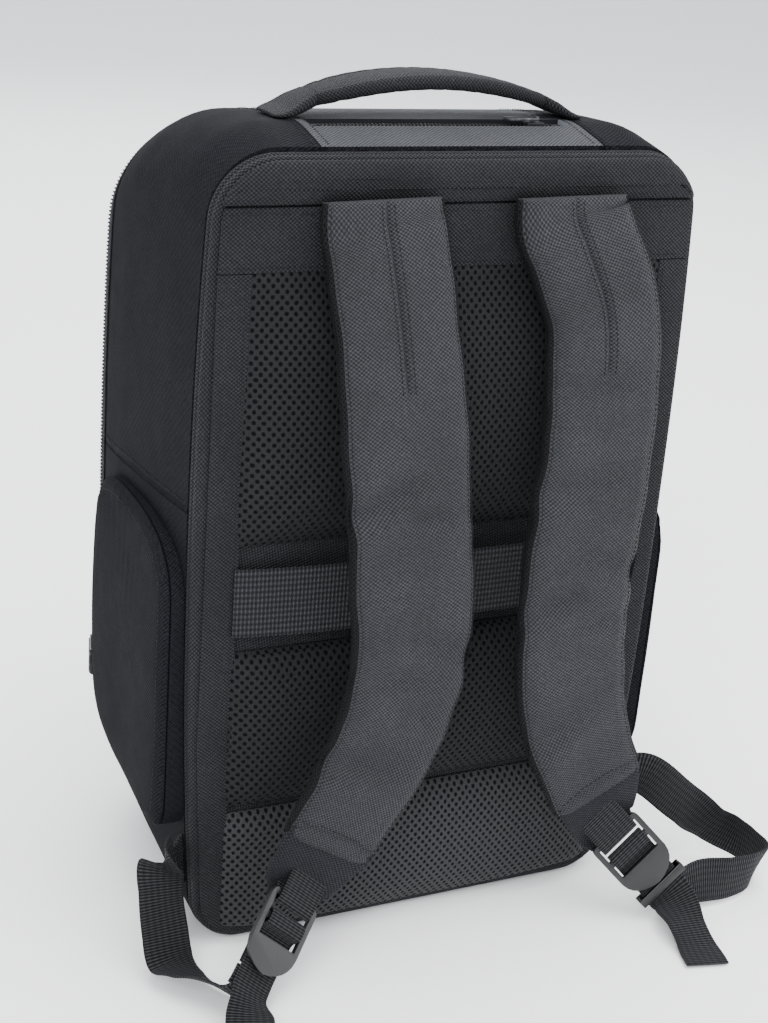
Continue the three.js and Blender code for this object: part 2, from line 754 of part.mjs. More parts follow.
const frontPocket = { x: [-112, 112], z: [92, 300], radii: [30, 30, 22, 22] };
const frontPlace = (a, b, out) => new THREE.Vector3(a, out, b);
const frontShape = [frontPocket.x, frontPocket.z, frontPocket.radii];
const frontFull = dish(frontShape, [[frontY + gap, 0], [frontY + 12, 0], [frontY + 19, 3], [frontY + 22, 12]], frontPlace);
const frontCore = dish(frontShape, [[frontY - 4, 3], [frontY + 12, 3], [frontY + 17, 6], [frontY + 19, 13]], frontPlace);
put("front_pocket_cover", geometryOf(frontFull.subtract(frontCore)), "panelFabric");

// ---------------------------------------------------------------- zipper sliders and pull tabs
// A slider in its own frame: it travels along x, its face looks along z, its lug stands at the origin.
const lugTop = 5.8;
const pinHeight = 4.4;
function sliderGeometry() {
  const base = boxSolid([-5.5, 5.5], [-4, 4], [0, 2.4]);
  const lug = boxSolid([-2.4, 2.4], [-1.2, 1.2], [2, lugTop]);
  const hole = solidOf(new THREE.CylinderGeometry(1, 1, 10, 8).translate(0, 0, pinHeight));
  return geometryOf(base.add(lug).subtract(hole));
}

// A pull tab lying along +x from the slider's pin, with a fork each side of the lug.
function pullerGeometry(length) {
  const tabHalf = 4;
  const tab = new THREE.Shape();
  tab.moveTo(-1.6, -tabHalf);
  tab.lineTo(length - tabHalf, -tabHalf);
  tab.quadraticCurveTo(length, -tabHalf, length, 0);
  tab.quadraticCurveTo(length, tabHalf, length - tabHalf, tabHalf);
  tab.lineTo(-1.6, tabHalf);
  const plate = new THREE.ExtrudeGeometry(tab, { depth: 1.6, bevelEnabled: false, curveSegments: 3 });
  plate.translate(0, 0, pinHeight - 0.8);
  const fork = boxSolid([-5, 3.4], [-1.6, 1.6], [0, 10]);
  const pin = new THREE.CylinderGeometry(0.65, 0.65, 2 * tabHalf - 1, 8).translate(0, 0, pinHeight);
  return geometryOf(solidOf(plate).subtract(fork).add(solidOf(pin)));
}

// A slider and its pull tab: where it sits, the way it travels and the way it faces.
function zipper(name, spot, travel, outward, tabLength, tabTurn = 1) {
  const x = new THREE.Vector3(...travel).normalize();
  const z = new THREE.Vector3(...outward).normalize();
  const matrix = new THREE.Matrix4().makeBasis(x, z.clone().cross(x), z).setPosition(new THREE.Vector3(...spot));
  const slider = put(`${name}_slider`, sliderGeometry(), "metal");
  const tab = pullerGeometry(tabLength);
  if (tabTurn < 0) tab.rotateZ(Math.PI);
  const puller = put(`${name}_puller`, tab, "metal");
  for (const mesh of [slider, puller]) mesh.applyMatrix4(matrix);
}

// The top slopes down to the front where the main zipper crosses it.
const topSlope = new THREE.Vector3(0, 16, 22).normalize();
const zipSpot = (x) => [x, partingY + 2.6 * topSlope.y, stationAt(partingY)[3] + 2.6 * topSlope.z];
zipper("main_left", zipSpot(-8), [-1, 0, 0], topSlope.toArray(), 30);
zipper("main_right", zipSpot(8), [1, 0, 0], topSlope.toArray(), 30);
zipper("sleeve", [62, slotMid, 502.4 + gap], [-1, 0, 0], [0, 0, 1], 20);
zipper("pocket_left", [-pocketPart, 60 + gap, 142], [0, 0, 1], [0, 1, 0], 26, -1);
zipper("pocket_right", [pocketPart, 60 + gap, 142], [0, 0, 1], [0, 1, 0], 26, -1);
zipper("front_pocket", [80, frontY + 6, frontPocket.z[1] + gap], [-1, 0, 0], [0, 0, 1], 26);

export default group;
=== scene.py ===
import bpy
import math
import numpy as np
from mathutils import Matrix, Vector, noise


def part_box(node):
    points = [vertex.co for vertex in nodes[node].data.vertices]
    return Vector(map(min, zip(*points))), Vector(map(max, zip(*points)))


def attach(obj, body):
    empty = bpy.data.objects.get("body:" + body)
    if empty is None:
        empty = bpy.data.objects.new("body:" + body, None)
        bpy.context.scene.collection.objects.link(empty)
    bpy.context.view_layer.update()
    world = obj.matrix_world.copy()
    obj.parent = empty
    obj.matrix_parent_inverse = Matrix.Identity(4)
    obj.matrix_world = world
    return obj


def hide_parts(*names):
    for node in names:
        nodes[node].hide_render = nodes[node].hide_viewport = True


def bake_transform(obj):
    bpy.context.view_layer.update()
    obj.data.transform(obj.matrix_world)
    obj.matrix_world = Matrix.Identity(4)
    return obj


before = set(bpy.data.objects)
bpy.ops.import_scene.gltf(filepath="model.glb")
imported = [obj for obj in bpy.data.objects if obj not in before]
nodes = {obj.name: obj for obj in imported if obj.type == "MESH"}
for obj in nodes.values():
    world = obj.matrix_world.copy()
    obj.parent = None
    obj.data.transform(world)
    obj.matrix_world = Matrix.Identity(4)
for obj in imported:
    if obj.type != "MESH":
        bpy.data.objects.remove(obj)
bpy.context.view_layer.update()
print("frame loaded:", len(nodes), "nodes")


def deselectAll():
    if bpy.context.object and bpy.context.object.mode != "OBJECT":
        bpy.ops.object.mode_set(mode="OBJECT")
    bpy.ops.object.select_all(action="DESELECT")


def makeActive(piece):
    deselectAll()
    piece.select_set(True)
    bpy.context.view_layer.objects.active = piece


# camera, floor and light
cameraSetup = {
    "lens": 61.02,
    "place": (-0.468, -0.955, 0.657),
    "heading": 26.5,  # degrees from straight at the back panel
    "down": 21.25,
    "roll": 4.5,
}
deselectAll()
bpy.ops.object.camera_add()
camera = bpy.context.object
camera.name = "camera"
camera.data.lens = cameraSetup["lens"]
camera.data.sensor_width = 36
turn = Matrix.Rotation(-math.radians(cameraSetup["heading"]), 4, "Z")
turn @= Matrix.Rotation(math.radians(90 - cameraSetup["down"]), 4, "X")
turn @= Matrix.Rotation(math.radians(cameraSetup["roll"]), 4, "Z")
camera.matrix_world = Matrix.Translation(cameraSetup["place"]) @ turn
bpy.context.scene.camera = camera

floorSetup = {"size": 14, "height": -0.0012, "colour": (0.955, 0.957, 0.96)}
bpy.ops.mesh.primitive_plane_add(size=floorSetup["size"], location=(0, 0, floorSetup["height"]))
floor = bpy.context.object
floor.name = "studio_floor"
bpy.ops.object.mode_set(mode="EDIT")  # the far edge is swept up as a backdrop
bpy.ops.mesh.select_all(action="DESELECT")
bpy.ops.mesh.select_mode(type="EDGE")
bpy.ops.object.mode_set(mode="OBJECT")
for edge in floor.data.edges:
    edge.select = all(floor.data.vertices[v].co.y > 1 for v in edge.vertices)
bpy.ops.object.mode_set(mode="EDIT")
bpy.ops.mesh.extrude_region_move(TRANSFORM_OT_translate={"value": (0, 0.6, 0.25)})
bpy.ops.mesh.extrude_region_move(TRANSFORM_OT_translate={"value": (0, 0.3, 5)})
bpy.ops.object.mode_set(mode="OBJECT")
bpy.ops.object.shade_smooth()
bpy.ops.object.transform_apply(location=True, rotation=True, scale=True)

lights = {
    "sky": {"place": (0.2, -0.5, 3.2), "size": 3.4, "power": 165, "aim": (0, 0, 0.25)},
    "key": {"place": (-1.9, -2.3, 2.5), "size": 1.8, "power": 88, "aim": (0, -0.1, 0.25)},
    "fill": {"place": (2.6, -1.9, 1.1), "size": 2.2, "power": 34, "aim": (0, -0.1, 0.25)},
    "back": {"place": (0.6, 2.4, 2.2), "size": 2.4, "power": 52, "aim": (0, 0, 0.3)},
}
for lightName, setup in lights.items():
    bpy.ops.object.light_add(type="AREA", location=setup["place"])
    lamp = bpy.context.object
    lamp.name = "light_" + lightName
    lamp.data.shape = "DISK"
    lamp.data.size = setup["size"]
    lamp.data.energy = setup["power"]
    lamp.rotation_euler = (Vector(setup["aim"]) - Vector(setup["place"])).to_track_quat("-Z", "Y").to_euler()
studioWorld = bpy.data.worlds.new("studio")
bpy.context.scene.world = studioWorld
studioWorld.use_nodes = True
studioWorld.node_tree.nodes["Background"].inputs["Color"].default_value = (0.93, 0.95, 1, 1)
studioWorld.node_tree.nodes["Background"].inputs["Strength"].default_value = 1.45
print("camera and light set")


# materials: every weave reads the piece's own cloth map, in metres
class Finish:
    # wires one fabric or hard finish
    def __init__(self, name, rough, sheen=0.0, metal=0.0, specular=0.1):
        self.material = bpy.data.materials.new(name)
        self.material.use_nodes = True
        self.tree = self.material.node_tree
        self.shader = self.tree.nodes["Principled BSDF"]
        self.shader.inputs["Roughness"].default_value = rough
        self.shader.inputs["Metallic"].default_value = metal
        self.shader.inputs["Specular IOR Level"].default_value = specular
        if sheen:
            self.shader.inputs["Sheen Weight"].default_value = sheen
            self.shader.inputs["Sheen Roughness"].default_value = 0.45
            self.shader.inputs["Sheen Tint"].default_value = (0.86, 0.9, 1, 1)

    def node(self, kind, **settings):
        made = self.tree.nodes.new(kind)
        for key, value in settings.items():
            setattr(made, key, value)
        return made

    def link(self, a, b):
        self.tree.links.new(a, b)

    def maths(self, what, a, b=None, c=None):
        made = self.node("ShaderNodeMath", operation=what)
        for i, value in enumerate((a, b, c)):
            if value is None:
                continue
            if isinstance(value, (int, float)):
                made.inputs[i].default_value = value
            else:
                self.link(value, made.inputs[i])
        return made.outputs[0]

    def clothMap(self):
        made = self.node("ShaderNodeUVMap", uv_map="cloth")
        parts = self.node("ShaderNodeSeparateXYZ")
        self.link(made.outputs[0], parts.inputs[0])
        return parts.outputs[0], parts.outputs[1]

    def wave(self, coordinate, pitch):  # a cosine, -1 to 1, once per pitch
        return self.maths("COSINE", self.maths("MULTIPLY", coordinate, 2 * math.pi / pitch))

    def step(self, value, low, high):
        made = self.node("ShaderNodeMapRange", interpolation_type="SMOOTHSTEP")
        self.link(value, made.inputs["Value"])
        made.inputs["From Min"].default_value = low
        made.inputs["From Max"].default_value = high
        return made.outputs["Result"]

    def cloud(self, scale, detail=3.0, roughness=0.55):
        made = self.node("ShaderNodeTexNoise")
        made.inputs["Scale"].default_value = scale
        made.inputs["Detail"].default_value = detail
        made.inputs["Roughness"].default_value = roughness
        spot = self.node("ShaderNodeTexCoord")
        self.link(spot.outputs["Object"], made.inputs["Vector"])
        return made.outputs["Fac"]

    def blendColour(self, factor, a, b):
        made = self.node("ShaderNodeMix", data_type="RGBA")
        self.link(factor, made.inputs["Factor"])
        for socket, value in ((made.inputs[6], a), (made.inputs[7], b)):
            if isinstance(value, tuple):
                socket.default_value = (*value, 1)
            else:
                self.link(value, socket)
        return made.outputs[2]

    def finish(self, colour, height, depth, roughFrom=None, roughRange=(0.6, 0.8)):
        self.link(colour, self.shader.inputs["Base Color"])
        bump = self.node("ShaderNodeBump")
        bump.inputs["Distance"].default_value = depth
        bump.inputs["Strength"].default_value = 0.9
        self.link(height, bump.inputs["Height"])
        self.link(bump.outputs[0], self.shader.inputs["Normal"])
        if roughFrom is not None:
            made = self.node("ShaderNodeMapRange")
            self.link(roughFrom, made.inputs["Value"])
            made.inputs["To Min"].default_value = roughRange[0]
            made.inputs["To Max"].default_value = roughRange[1]
            self.link(made.outputs["Result"], self.shader.inputs["Roughness"])
        return self.material


def wornColour(f, colour, light=(0.2, 0.205, 0.22), amount=(0.60, 0.82)):
    # lint and rubbed places: fine specks inside broad patches
    patches = f.step(f.cloud(9, 4), 0.45, 0.75)
    specks = f.step(f.cloud(1500, 2), *amount)
    return f.blendColour(f.maths("MULTIPLY", f.maths("MULTIPLY", patches, specks), 0.35), colour, light)


def ballisticWeave(name, dark, bright, pitch=(0.0027, 0.0023), sheen=0.02, depth=0.0006):
    f = Finish(name, 0.72, sheen)
    u, v = f.clothMap()
    over = f.maths("MULTIPLY", f.wave(u, pitch[0]), f.wave(v, pitch[1]))
    strand = f.wave(u, pitch[0] / 6)  # filaments inside each yarn
    over = f.maths("ADD", over, f.maths("MULTIPLY", strand, 0.08))
    tone = f.maths("ADD", over, f.maths("MULTIPLY_ADD", f.cloud(420, 2), 1.0, -0.5))
    colour = f.blendColour(f.step(tone, -0.8, 1.2), dark, bright)
    shade = f.step(f.cloud(22, 4), 0.3, 0.7)
    colour = f.blendColour(f.maths("MULTIPLY", shade, 0.25), colour, tuple(x * 0.55 for x in dark))
    return f.finish(wornColour(f, colour), over, depth, over, (0.82, 0.56))


def bodyTwill(name, dark, bright, seams):
    f = Finish(name, 0.8, specular=0.03)
    u, v = f.clothMap()
    rib = f.wave(f.maths("ADD", u, f.maths("MULTIPLY", v, 0.8)), 0.0021)
    cross = f.wave(f.maths("SUBTRACT", u, v), 0.0047)
    tone = f.maths("MULTIPLY_ADD", cross, 0.35, rib)
    tone = f.maths("ADD", tone, f.maths("MULTIPLY_ADD", f.cloud(480, 3), 3.0, -1.5))
    colour = f.blendColour(f.step(tone, -1.6, 1.9), dark, bright)
    spot = f.node("ShaderNodeTexCoord")
    parts = f.node("ShaderNodeSeparateXYZ")
    f.link(spot.outputs["Object"], parts.inputs[0])
    x, y, z = parts.outputs
    # seams: one each side of the top, and one round each side panel
    overTop = f.step(z, seams["topFrom"], seams["topFrom"] + 0.003)
    toTopSeam = f.maths("ABSOLUTE", f.maths("SUBTRACT", f.maths("ABSOLUTE", x), seams["topX"]))
    topSeam = f.maths("MULTIPLY", f.maths("SUBTRACT", 1, f.step(toTopSeam, 0.0006, 0.0026)), overTop)
    level = f.maths("MULTIPLY_ADD", y, seams["sideSlope"], seams["sideZ"])
    toSideSeam = f.maths("ABSOLUTE", f.maths("SUBTRACT", z, level))
    onSide = f.step(f.maths("ABSOLUTE", x), 0.148, 0.152)
    sideSeam = f.maths("MULTIPLY", f.maths("SUBTRACT", 1, f.step(toSideSeam, 0.0006, 0.0026)), onSide)
    seam = f.maths("MAXIMUM", topSeam, sideSeam)
    colour = f.blendColour(f.maths("MULTIPLY", seam, 0.85), colour, (0.004, 0.004, 0.005))
    height = f.maths("SUBTRACT", f.maths("MULTIPLY", tone, 0.12), f.maths("MULTIPLY", seam, 3.0))
    return f.finish(wornColour(f, colour), height, 0.0006, f.cloud(60, 3), (0.7, 0.9))


def spacerMesh(name, yarn, holePaintedShade, pitch=(0.0053, 0.0062)):
    f = Finish(name, 0.75, 0.015)
    u, v = f.clothMap()
    wobble = f.maths("MULTIPLY_ADD", f.cloud(160, 1), 0.0016, -0.0008)
    cell = f.maths("MULTIPLY", f.wave(f.maths("ADD", u, wobble), pitch[0] * 2), f.wave(v, pitch[1] * 2))
    cell = f.maths("ABSOLUTE", cell)
    cell2 = f.maths("MULTIPLY", f.maths("SINE", f.maths("MULTIPLY", u, math.pi / pitch[0])),
                    f.maths("SINE", f.maths("MULTIPLY", v, math.pi / pitch[1])))
    cells = f.maths("MAXIMUM", cell, f.maths("ABSOLUTE", cell2))
    opening = f.step(cells, 0.7, 0.93)
    knit = f.wave(f.maths("ADD", v, f.maths("MULTIPLY", u, 0.5)), 0.0009)
    knitTone = f.blendColour(f.step(knit, -1, 1), tuple(c * 0.6 for c in yarn), yarn)
    # the openings take the near-black colour: painted shade inside the mesh holes
    colour = f.blendColour(opening, knitTone, holePaintedShade)
    height = f.maths("SUBTRACT", f.maths("MULTIPLY", knit, 0.12), f.maths("MULTIPLY", opening, 1.6))
    return f.finish(wornColour(f, colour, amount=(0.66, 0.85)), height, 0.0011, opening, (0.6, 0.95))


def ribbedWebbing(name, dark, bright, ribs=0.0017, cells=0.0042, grid=0.0):
    f = Finish(name, 0.62, 0.02)
    u, v = f.clothMap()
    rib = f.wave(v, ribs)
    lines = f.wave(u, cells)
    tone = f.maths("ADD", rib, f.maths("MULTIPLY", lines, 0.35 + grid))
    tone = f.maths("ADD", tone, f.maths("MULTIPLY_ADD", f.cloud(900, 2), 1.0, -0.5))
    colour = f.blendColour(f.step(tone, -0.9, 1.5), dark, bright)
    return f.finish(wornColour(f, colour), tone, 0.0004, tone, (0.75, 0.5))


def zipTapeCloth(name):
    f = Finish(name, 0.75, 0.15)
    u, v = f.clothMap()
    zigzag = f.maths("SUBTRACT", f.maths("FRACT", f.maths("MULTIPLY", v, 250)), 0.5)
    tone = f.wave(f.maths("ADD", u, f.maths("ABSOLUTE", zigzag)), 0.0011)
    colour = f.blendColour(f.step(tone, -1, 1), (0.0022, 0.0023, 0.0027), (0.0095, 0.0098, 0.011))
    return f.finish(wornColour(f, colour), tone, 0.0002, f.cloud(90), (0.65, 0.85))


def brushedLining(name, dark, bright):
    f = Finish(name, 0.9, 0.5)
    u, v = f.clothMap()
    nap = f.maths("ADD", f.cloud(900, 4, 0.7), f.maths("MULTIPLY", f.wave(u, 0.0021), 0.05))
    colour = f.blendColour(f.step(nap, 0.35, 0.7), dark, bright)
    patch = f.step(f.cloud(14, 3), 0.35, 0.7)
    colour = f.blendColour(f.maths("MULTIPLY", patch, 0.3), colour, tuple(c * 0.7 for c in dark))
    return f.finish(colour, nap, 0.0006, nap, (0.98, 0.8))


def openFoam(name):
    f = Finish(name, 0.95)
    spot = f.node("ShaderNodeTexCoord")
    pores = f.node("ShaderNodeTexVoronoi")
    pores.inputs["Scale"].default_value = 900
    f.link(spot.outputs["Object"], pores.inputs["Vector"])
    pore = f.step(pores.outputs["Distance"], 0.1, 0.6)
    colour = f.blendColour(pore, (0.05, 0.052, 0.055), (0.11, 0.115, 0.12))
    return f.finish(colour, pore, 0.0005, pore, (0.85, 0.98))


def mouldedPlastic(name, tone):
    f = Finish(name, 0.38, specular=0.5)
    grain = f.cloud(1400, 3, 0.6)
    scuff = f.step(f.cloud(55, 5, 0.7), 0.55, 0.75)
    colour = f.blendColour(f.maths("MULTIPLY", scuff, 0.35), tone, tuple(min(c * 2.4, 1) for c in tone))
    return f.finish(colour, grain, 0.00012, f.maths("ADD", grain, f.maths("MULTIPLY", scuff, 0.5)),
                    (0.26, 0.52))


def coatedMetal(name):
    f = Finish(name, 0.34, metal=0.85, specular=0.5)
    stretched = f.node("ShaderNodeMapping")
    stretched.inputs["Scale"].default_value = (900, 5000, 900)
    spot = f.node("ShaderNodeTexCoord")
    f.link(spot.outputs["Object"], stretched.inputs["Vector"])
    scratch = f.node("ShaderNodeTexNoise")
    scratch.inputs["Scale"].default_value = 1
    f.link(stretched.outputs[0], scratch.inputs["Vector"])
    rub = f.step(f.cloud(240, 4), 0.55, 0.72)
    colour = f.blendColour(f.maths("MULTIPLY", rub, 0.5), (0.055, 0.056, 0.06), (0.22, 0.22, 0.23))
    return f.finish(colour, scratch.outputs["Fac"], 0.00006, scratch.outputs["Fac"], (0.25, 0.5))


seamPlaces = {"topX": 0.089, "topFrom": 0.478, "sideZ": 0.2872, "sideSlope": -0.056}
shellCloth = bodyTwill("shell_twill", (0.0025, 0.0027, 0.0033), (0.0130, 0.0137, 0.0163), seamPlaces)
panelCloth = ballisticWeave("panel_ballistic", (0.0064, 0.0066, 0.0077), (0.0316, 0.0325, 0.0362))
# the top panel's weave is painted several times lighter than the other ballistic weaves: painted light
# falling on the top from above
roofClothPaintedLight = ballisticWeave("roof_ballistic_painted_light", (0.018, 0.0186, 0.0212), (0.083, 0.0857, 0.0945), sheen=0.05)
topCloth = ballisticWeave("top_ballistic", (0.0068, 0.0070, 0.0080), (0.0283, 0.0291, 0.0322))
strapCloth = ballisticWeave("strap_ballistic", (0.0130, 0.0134, 0.0151), (0.0530, 0.0544, 0.0594), sheen=0.03)
endCloth = ballisticWeave("strap_end_ballistic", (0.0057, 0.0059, 0.0074), (0.0240, 0.0254, 0.0300),
                          sheen=0.02)
# the second colour of each spacer mesh is painted shade for its openings
padMesh = spacerMesh("pad_spacer_mesh", (0.0142, 0.0145, 0.0161), (0.0005, 0.0005, 0.0006))
lowerMesh = spacerMesh("lower_spacer_mesh", (0.0375, 0.038, 0.041), (0.0022, 0.0022, 0.0025))
edgeMesh = spacerMesh("strap_edge_mesh", (0.0045, 0.0047, 0.0054), (0.001, 0.001, 0.001), (0.0026, 0.003))
strapWebbing = ribbedWebbing("strap_webbing", (0.0039, 0.00405, 0.0045), (0.0315, 0.03225, 0.03525))
luggageWebbing = ribbedWebbing("luggage_webbing", (0.0078, 0.0080, 0.0091), (0.0330, 0.0336, 0.0377),
                               0.0024, 0.0034, 0.55)
tapeCloth = zipTapeCloth("zip_tape")
liningCloth = brushedLining("lining_brushed", (0.05, 0.053, 0.06), (0.14, 0.148, 0.165))
padFoam = openFoam("pad_foam")
bucklePlastic = mouldedPlastic("buckle_satin", (0.0058, 0.0059, 0.0064))
coilPlastic = mouldedPlastic("zip_coil", (0.0032, 0.0033, 0.0037))
boardPlastic = mouldedPlastic("board_sheet", (0.02, 0.02, 0.021))
zipMetal = coatedMetal("zip_coated_metal")
stitchThread = ribbedWebbing("stitch_thread", (0.008, 0.0083, 0.0092), (0.032, 0.0335, 0.037), 0.0007, 0.0021)


def studioPaint(name, colour):
    f = Finish(name, 0.85, specular=0.1)
    soft = f.blendColour(f.cloud(3, 2), colour, tuple(c * 0.985 for c in colour))
    return f.finish(soft, f.cloud(40, 2), 0.0002)


floor.data.materials.append(studioPaint("studio_paint", floorSetup["colour"]))
print("materials ready")


# making meshes
def pieceFrom(name, points, faces, cloth=None, material=None, smooth=True):
    mesh = bpy.data.meshes.new(name)
    mesh.from_pydata([tuple(p) for p in points], [], faces)
    if cloth is not None:
        layer = mesh.uv_layers.new(name="cloth")
        flat = [c for face in cloth for c in face]
        layer.data.foreach_set("uv", [x for c in flat for x in c])
    piece = bpy.data.objects.new(name, mesh)
    bpy.context.scene.collection.objects.link(piece)
    if material:
        mesh.materials.append(material)
    mesh.polygons.foreach_set("use_smooth", [smooth] * len(mesh.polygons))
    mesh.update()
    return piece


def signedVolume(points, faces):
    p = np.array(points, float)
    total = 0.0
    for face in faces:
        a = p[face[0]]
        for i in range(1, len(face) - 1):
            total += np.dot(a, np.cross(p[face[i]], p[face[i + 1]]))
    return total


def loft(name, rings, material, closedRoute=False, ends=True):
    # a skin over rings of points, with a cloth map in metres: u round the ring, v along the route
    rings = np.array(rings, float)
    count, size = rings.shape[:2]
    aroundStep = np.linalg.norm(np.roll(rings, -1, 1) - rings, axis=2).mean(0)
    around = np.concatenate([[0], np.cumsum(aroundStep)])
    following = np.roll(rings, -1, 0)
    alongStep = np.linalg.norm(following - rings, axis=2).mean(1)
    along = np.concatenate([[0], np.cumsum(alongStep)])
    faces, cloth = [], []
    last = count if closedRoute else count - 1
    for k in range(last):
        n = (k + 1) % count
        for i in range(size):
            j = (i + 1) % size
            faces.append((k * size + i, k * size + j, n * size + j, n * size + i))
            cloth.append([(around[i], along[k]), (around[i + 1], along[k]),
                          (around[i + 1], along[k + 1]), (around[i], along[k + 1])])
    if ends and not closedRoute:
        for start, backwards in ((0, True), ((count - 1) * size, False)):
            cap = list(range(start, start + size))
            if backwards:
                cap.reverse()
            faces.append(tuple(cap))
            origin = rings[0 if backwards else -1]
            u = origin[size // 4] - origin[0]
            u /= np.linalg.norm(u) + 1e-9
            normal = np.cross(u, origin[size // 2] - origin[0])
            v = np.cross(normal / (np.linalg.norm(normal) + 1e-9), u)
            cloth.append([(float(origin[c - start] @ u), float(origin[c - start] @ v)) for c in cap])
    points = rings.reshape(-1, 3)
    if signedVolume(points, faces) < 0:
        faces = [tuple(reversed(face)) for face in faces]
        cloth = [list(reversed(face)) for face in cloth]
    return pieceFrom(name, points, faces, cloth, material)


def boxCloth(piece):
    # lays the cloth map on flat from the side each face looks to
    mesh = piece.data
    layer = mesh.uv_layers.get("cloth") or mesh.uv_layers.new(name="cloth")
    co = np.zeros(len(mesh.vertices) * 3)
    mesh.vertices.foreach_get("co", co)
    co = co.reshape(-1, 3)
    normals = np.zeros(len(mesh.polygons) * 3)
    mesh.polygons.foreach_get("normal", normals)
    axis = np.abs(normals.reshape(-1, 3)).argmax(1)
    totals = np.zeros(len(mesh.polygons), np.int32)
    mesh.polygons.foreach_get("loop_total", totals)
    loopAxis = np.repeat(axis, totals)
    loopVertex = np.zeros(len(mesh.loops), np.int32)
    mesh.loops.foreach_get("vertex_index", loopVertex)
    p = co[loopVertex]
    uv = np.where((loopAxis == 0)[:, None], p[:, [1, 2]],
                  np.where((loopAxis == 1)[:, None], p[:, [0, 2]], p[:, [0, 1]]))
    layer.data.foreach_set("uv", uv.astype(np.float32).ravel())
    return piece


def facedOutwards(piece, weld=None):
    makeActive(piece)
    bpy.ops.object.mode_set(mode="EDIT")
    bpy.ops.mesh.select_all(action="SELECT")
    if weld:
        bpy.ops.mesh.remove_doubles(threshold=weld)
    bpy.ops.mesh.normals_make_consistent(inside=False)
    bpy.ops.object.mode_set(mode="OBJECT")


def cadCopy(node, name):
    # the CAD node's shape as a new piece, merged
    source = nodes[node]
    piece = bpy.data.objects.new(name, source.data.copy())
    bpy.context.scene.collection.objects.link(piece)
    piece.data.materials.clear()
    facedOutwards(piece, weld=0.00002)
    while piece.data.uv_layers:
        piece.data.uv_layers.remove(piece.data.uv_layers[0])
    for attribute in ("sharp_edge", "sharp_face", "custom_normal"):
        if attribute in piece.data.attributes:
            piece.data.attributes.remove(piece.data.attributes[attribute])
    return piece


def smoothUpTo(piece, degrees):
    makeActive(piece)
    bpy.ops.object.shade_smooth_by_angle(angle=math.radians(degrees))


def withModifier(piece, kind, **settings):
    makeActive(piece)
    modifier = piece.modifiers.new(kind.lower(), kind)
    for key, value in settings.items():
        setattr(modifier, key, value)
    bpy.ops.object.modifier_apply(modifier=modifier.name)
    return piece


def bevelledCopy(node, name, width, material, segments=2, angle=30):
    piece = cadCopy(node, name)
    makeActive(piece)
    bpy.ops.object.mode_set(mode="EDIT")
    bpy.ops.mesh.select_all(action="SELECT")
    bpy.ops.mesh.dissolve_limited(angle_limit=math.radians(3))
    bpy.ops.object.mode_set(mode="OBJECT")
    withModifier(piece, "BEVEL", width=width, segments=segments, limit_method="ANGLE",
                 angle_limit=math.radians(angle), harden_normals=False, use_clamp_overlap=True)
    piece.data.materials.append(material)
    smoothUpTo(piece, 45)
    return boxCloth(piece)


def place(piece, body, slotName, *replaced, pad=None):
    if body:
        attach(piece, body)
    if replaced:
        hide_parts(*replaced)
    return piece


def readPoints(piece):
    co = np.zeros(len(piece.data.vertices) * 3)
    piece.data.vertices.foreach_get("co", co)
    return co.reshape(-1, 3)


def writePoints(piece, co):
    piece.data.vertices.foreach_set("co", co.ravel())
    piece.data.update()


def smoothNoise(points, scale, seed):
    return np.array([noise.noise(Vector((p[0] * scale + seed, p[1] * scale, p[2] * scale))) for p in points])


# routes
def catmullRom(points, steps):
    # points at even steps on a centripetal Catmull-Rom curve, and its directions
    p = [np.array(q, float) for q in points]
    p = [2 * p[0] - p[1]] + p + [2 * p[-1] - p[-2]]
    places = []
    spans = len(p) - 3
    for i in range(steps + 1):
        t = i / steps * spans
        k = min(int(t), spans - 1)
        w = t - k
        a, b, c, d = p[k:k + 4]
        ab, bc, cd = [max(np.linalg.norm(y - x) ** 0.5, 1e-6) for x, y in ((a, b), (b, c), (c, d))]
        m1 = ((b - a) / ab - (c - a) / (ab + bc) + (c - b) / bc) * bc
        m2 = ((c - b) / bc - (d - b) / (bc + cd) + (d - c) / cd) * bc
        places.append(b * (2 * w ** 3 - 3 * w ** 2 + 1) + m1 * (w ** 3 - 2 * w ** 2 + w)
                      + c * (3 * w ** 2 - 2 * w ** 3) + m2 * (w ** 3 - w ** 2))
    places = np.array(places)
    return places, np.gradient(places, axis=0)


def unit(v):
    return v / (np.linalg.norm(v) + 1e-12)


def webbingBand(name, route, across, width, thickness, steps, material):
    # flat webbing with rounded selvedges along a route; across is the direction over the band
    line, along = catmullRom(route, steps)
    turns, _ = catmullRom(across, steps)
    rings = []
    section = [(-1, -0.35), (-0.97, -0.9), (-0.9, -1), (-0.5, -0.92), (0, -0.92), (0.5, -0.92), (0.9, -1),
               (0.97, -0.9), (1, -0.35), (1, 0.35), (0.97, 0.9), (0.9, 1), (0.5, 0.92), (0, 0.92),
               (-0.5, 0.92), (-0.9, 1), (-0.97, 0.9), (-1, 0.35)]
    for i in range(steps + 1):
        t = i / steps
        direction = unit(along[i])
        side = unit(turns[i] - direction * (turns[i] @ direction))
        face = np.cross(side, direction)
        half = (width(t) if callable(width) else width) / 2
        thick = thickness(t) if callable(thickness) else thickness
        rings.append([line[i] + side * s * half + face * f * thick / 2 for s, f in section])
    return loft(name, rings, material)


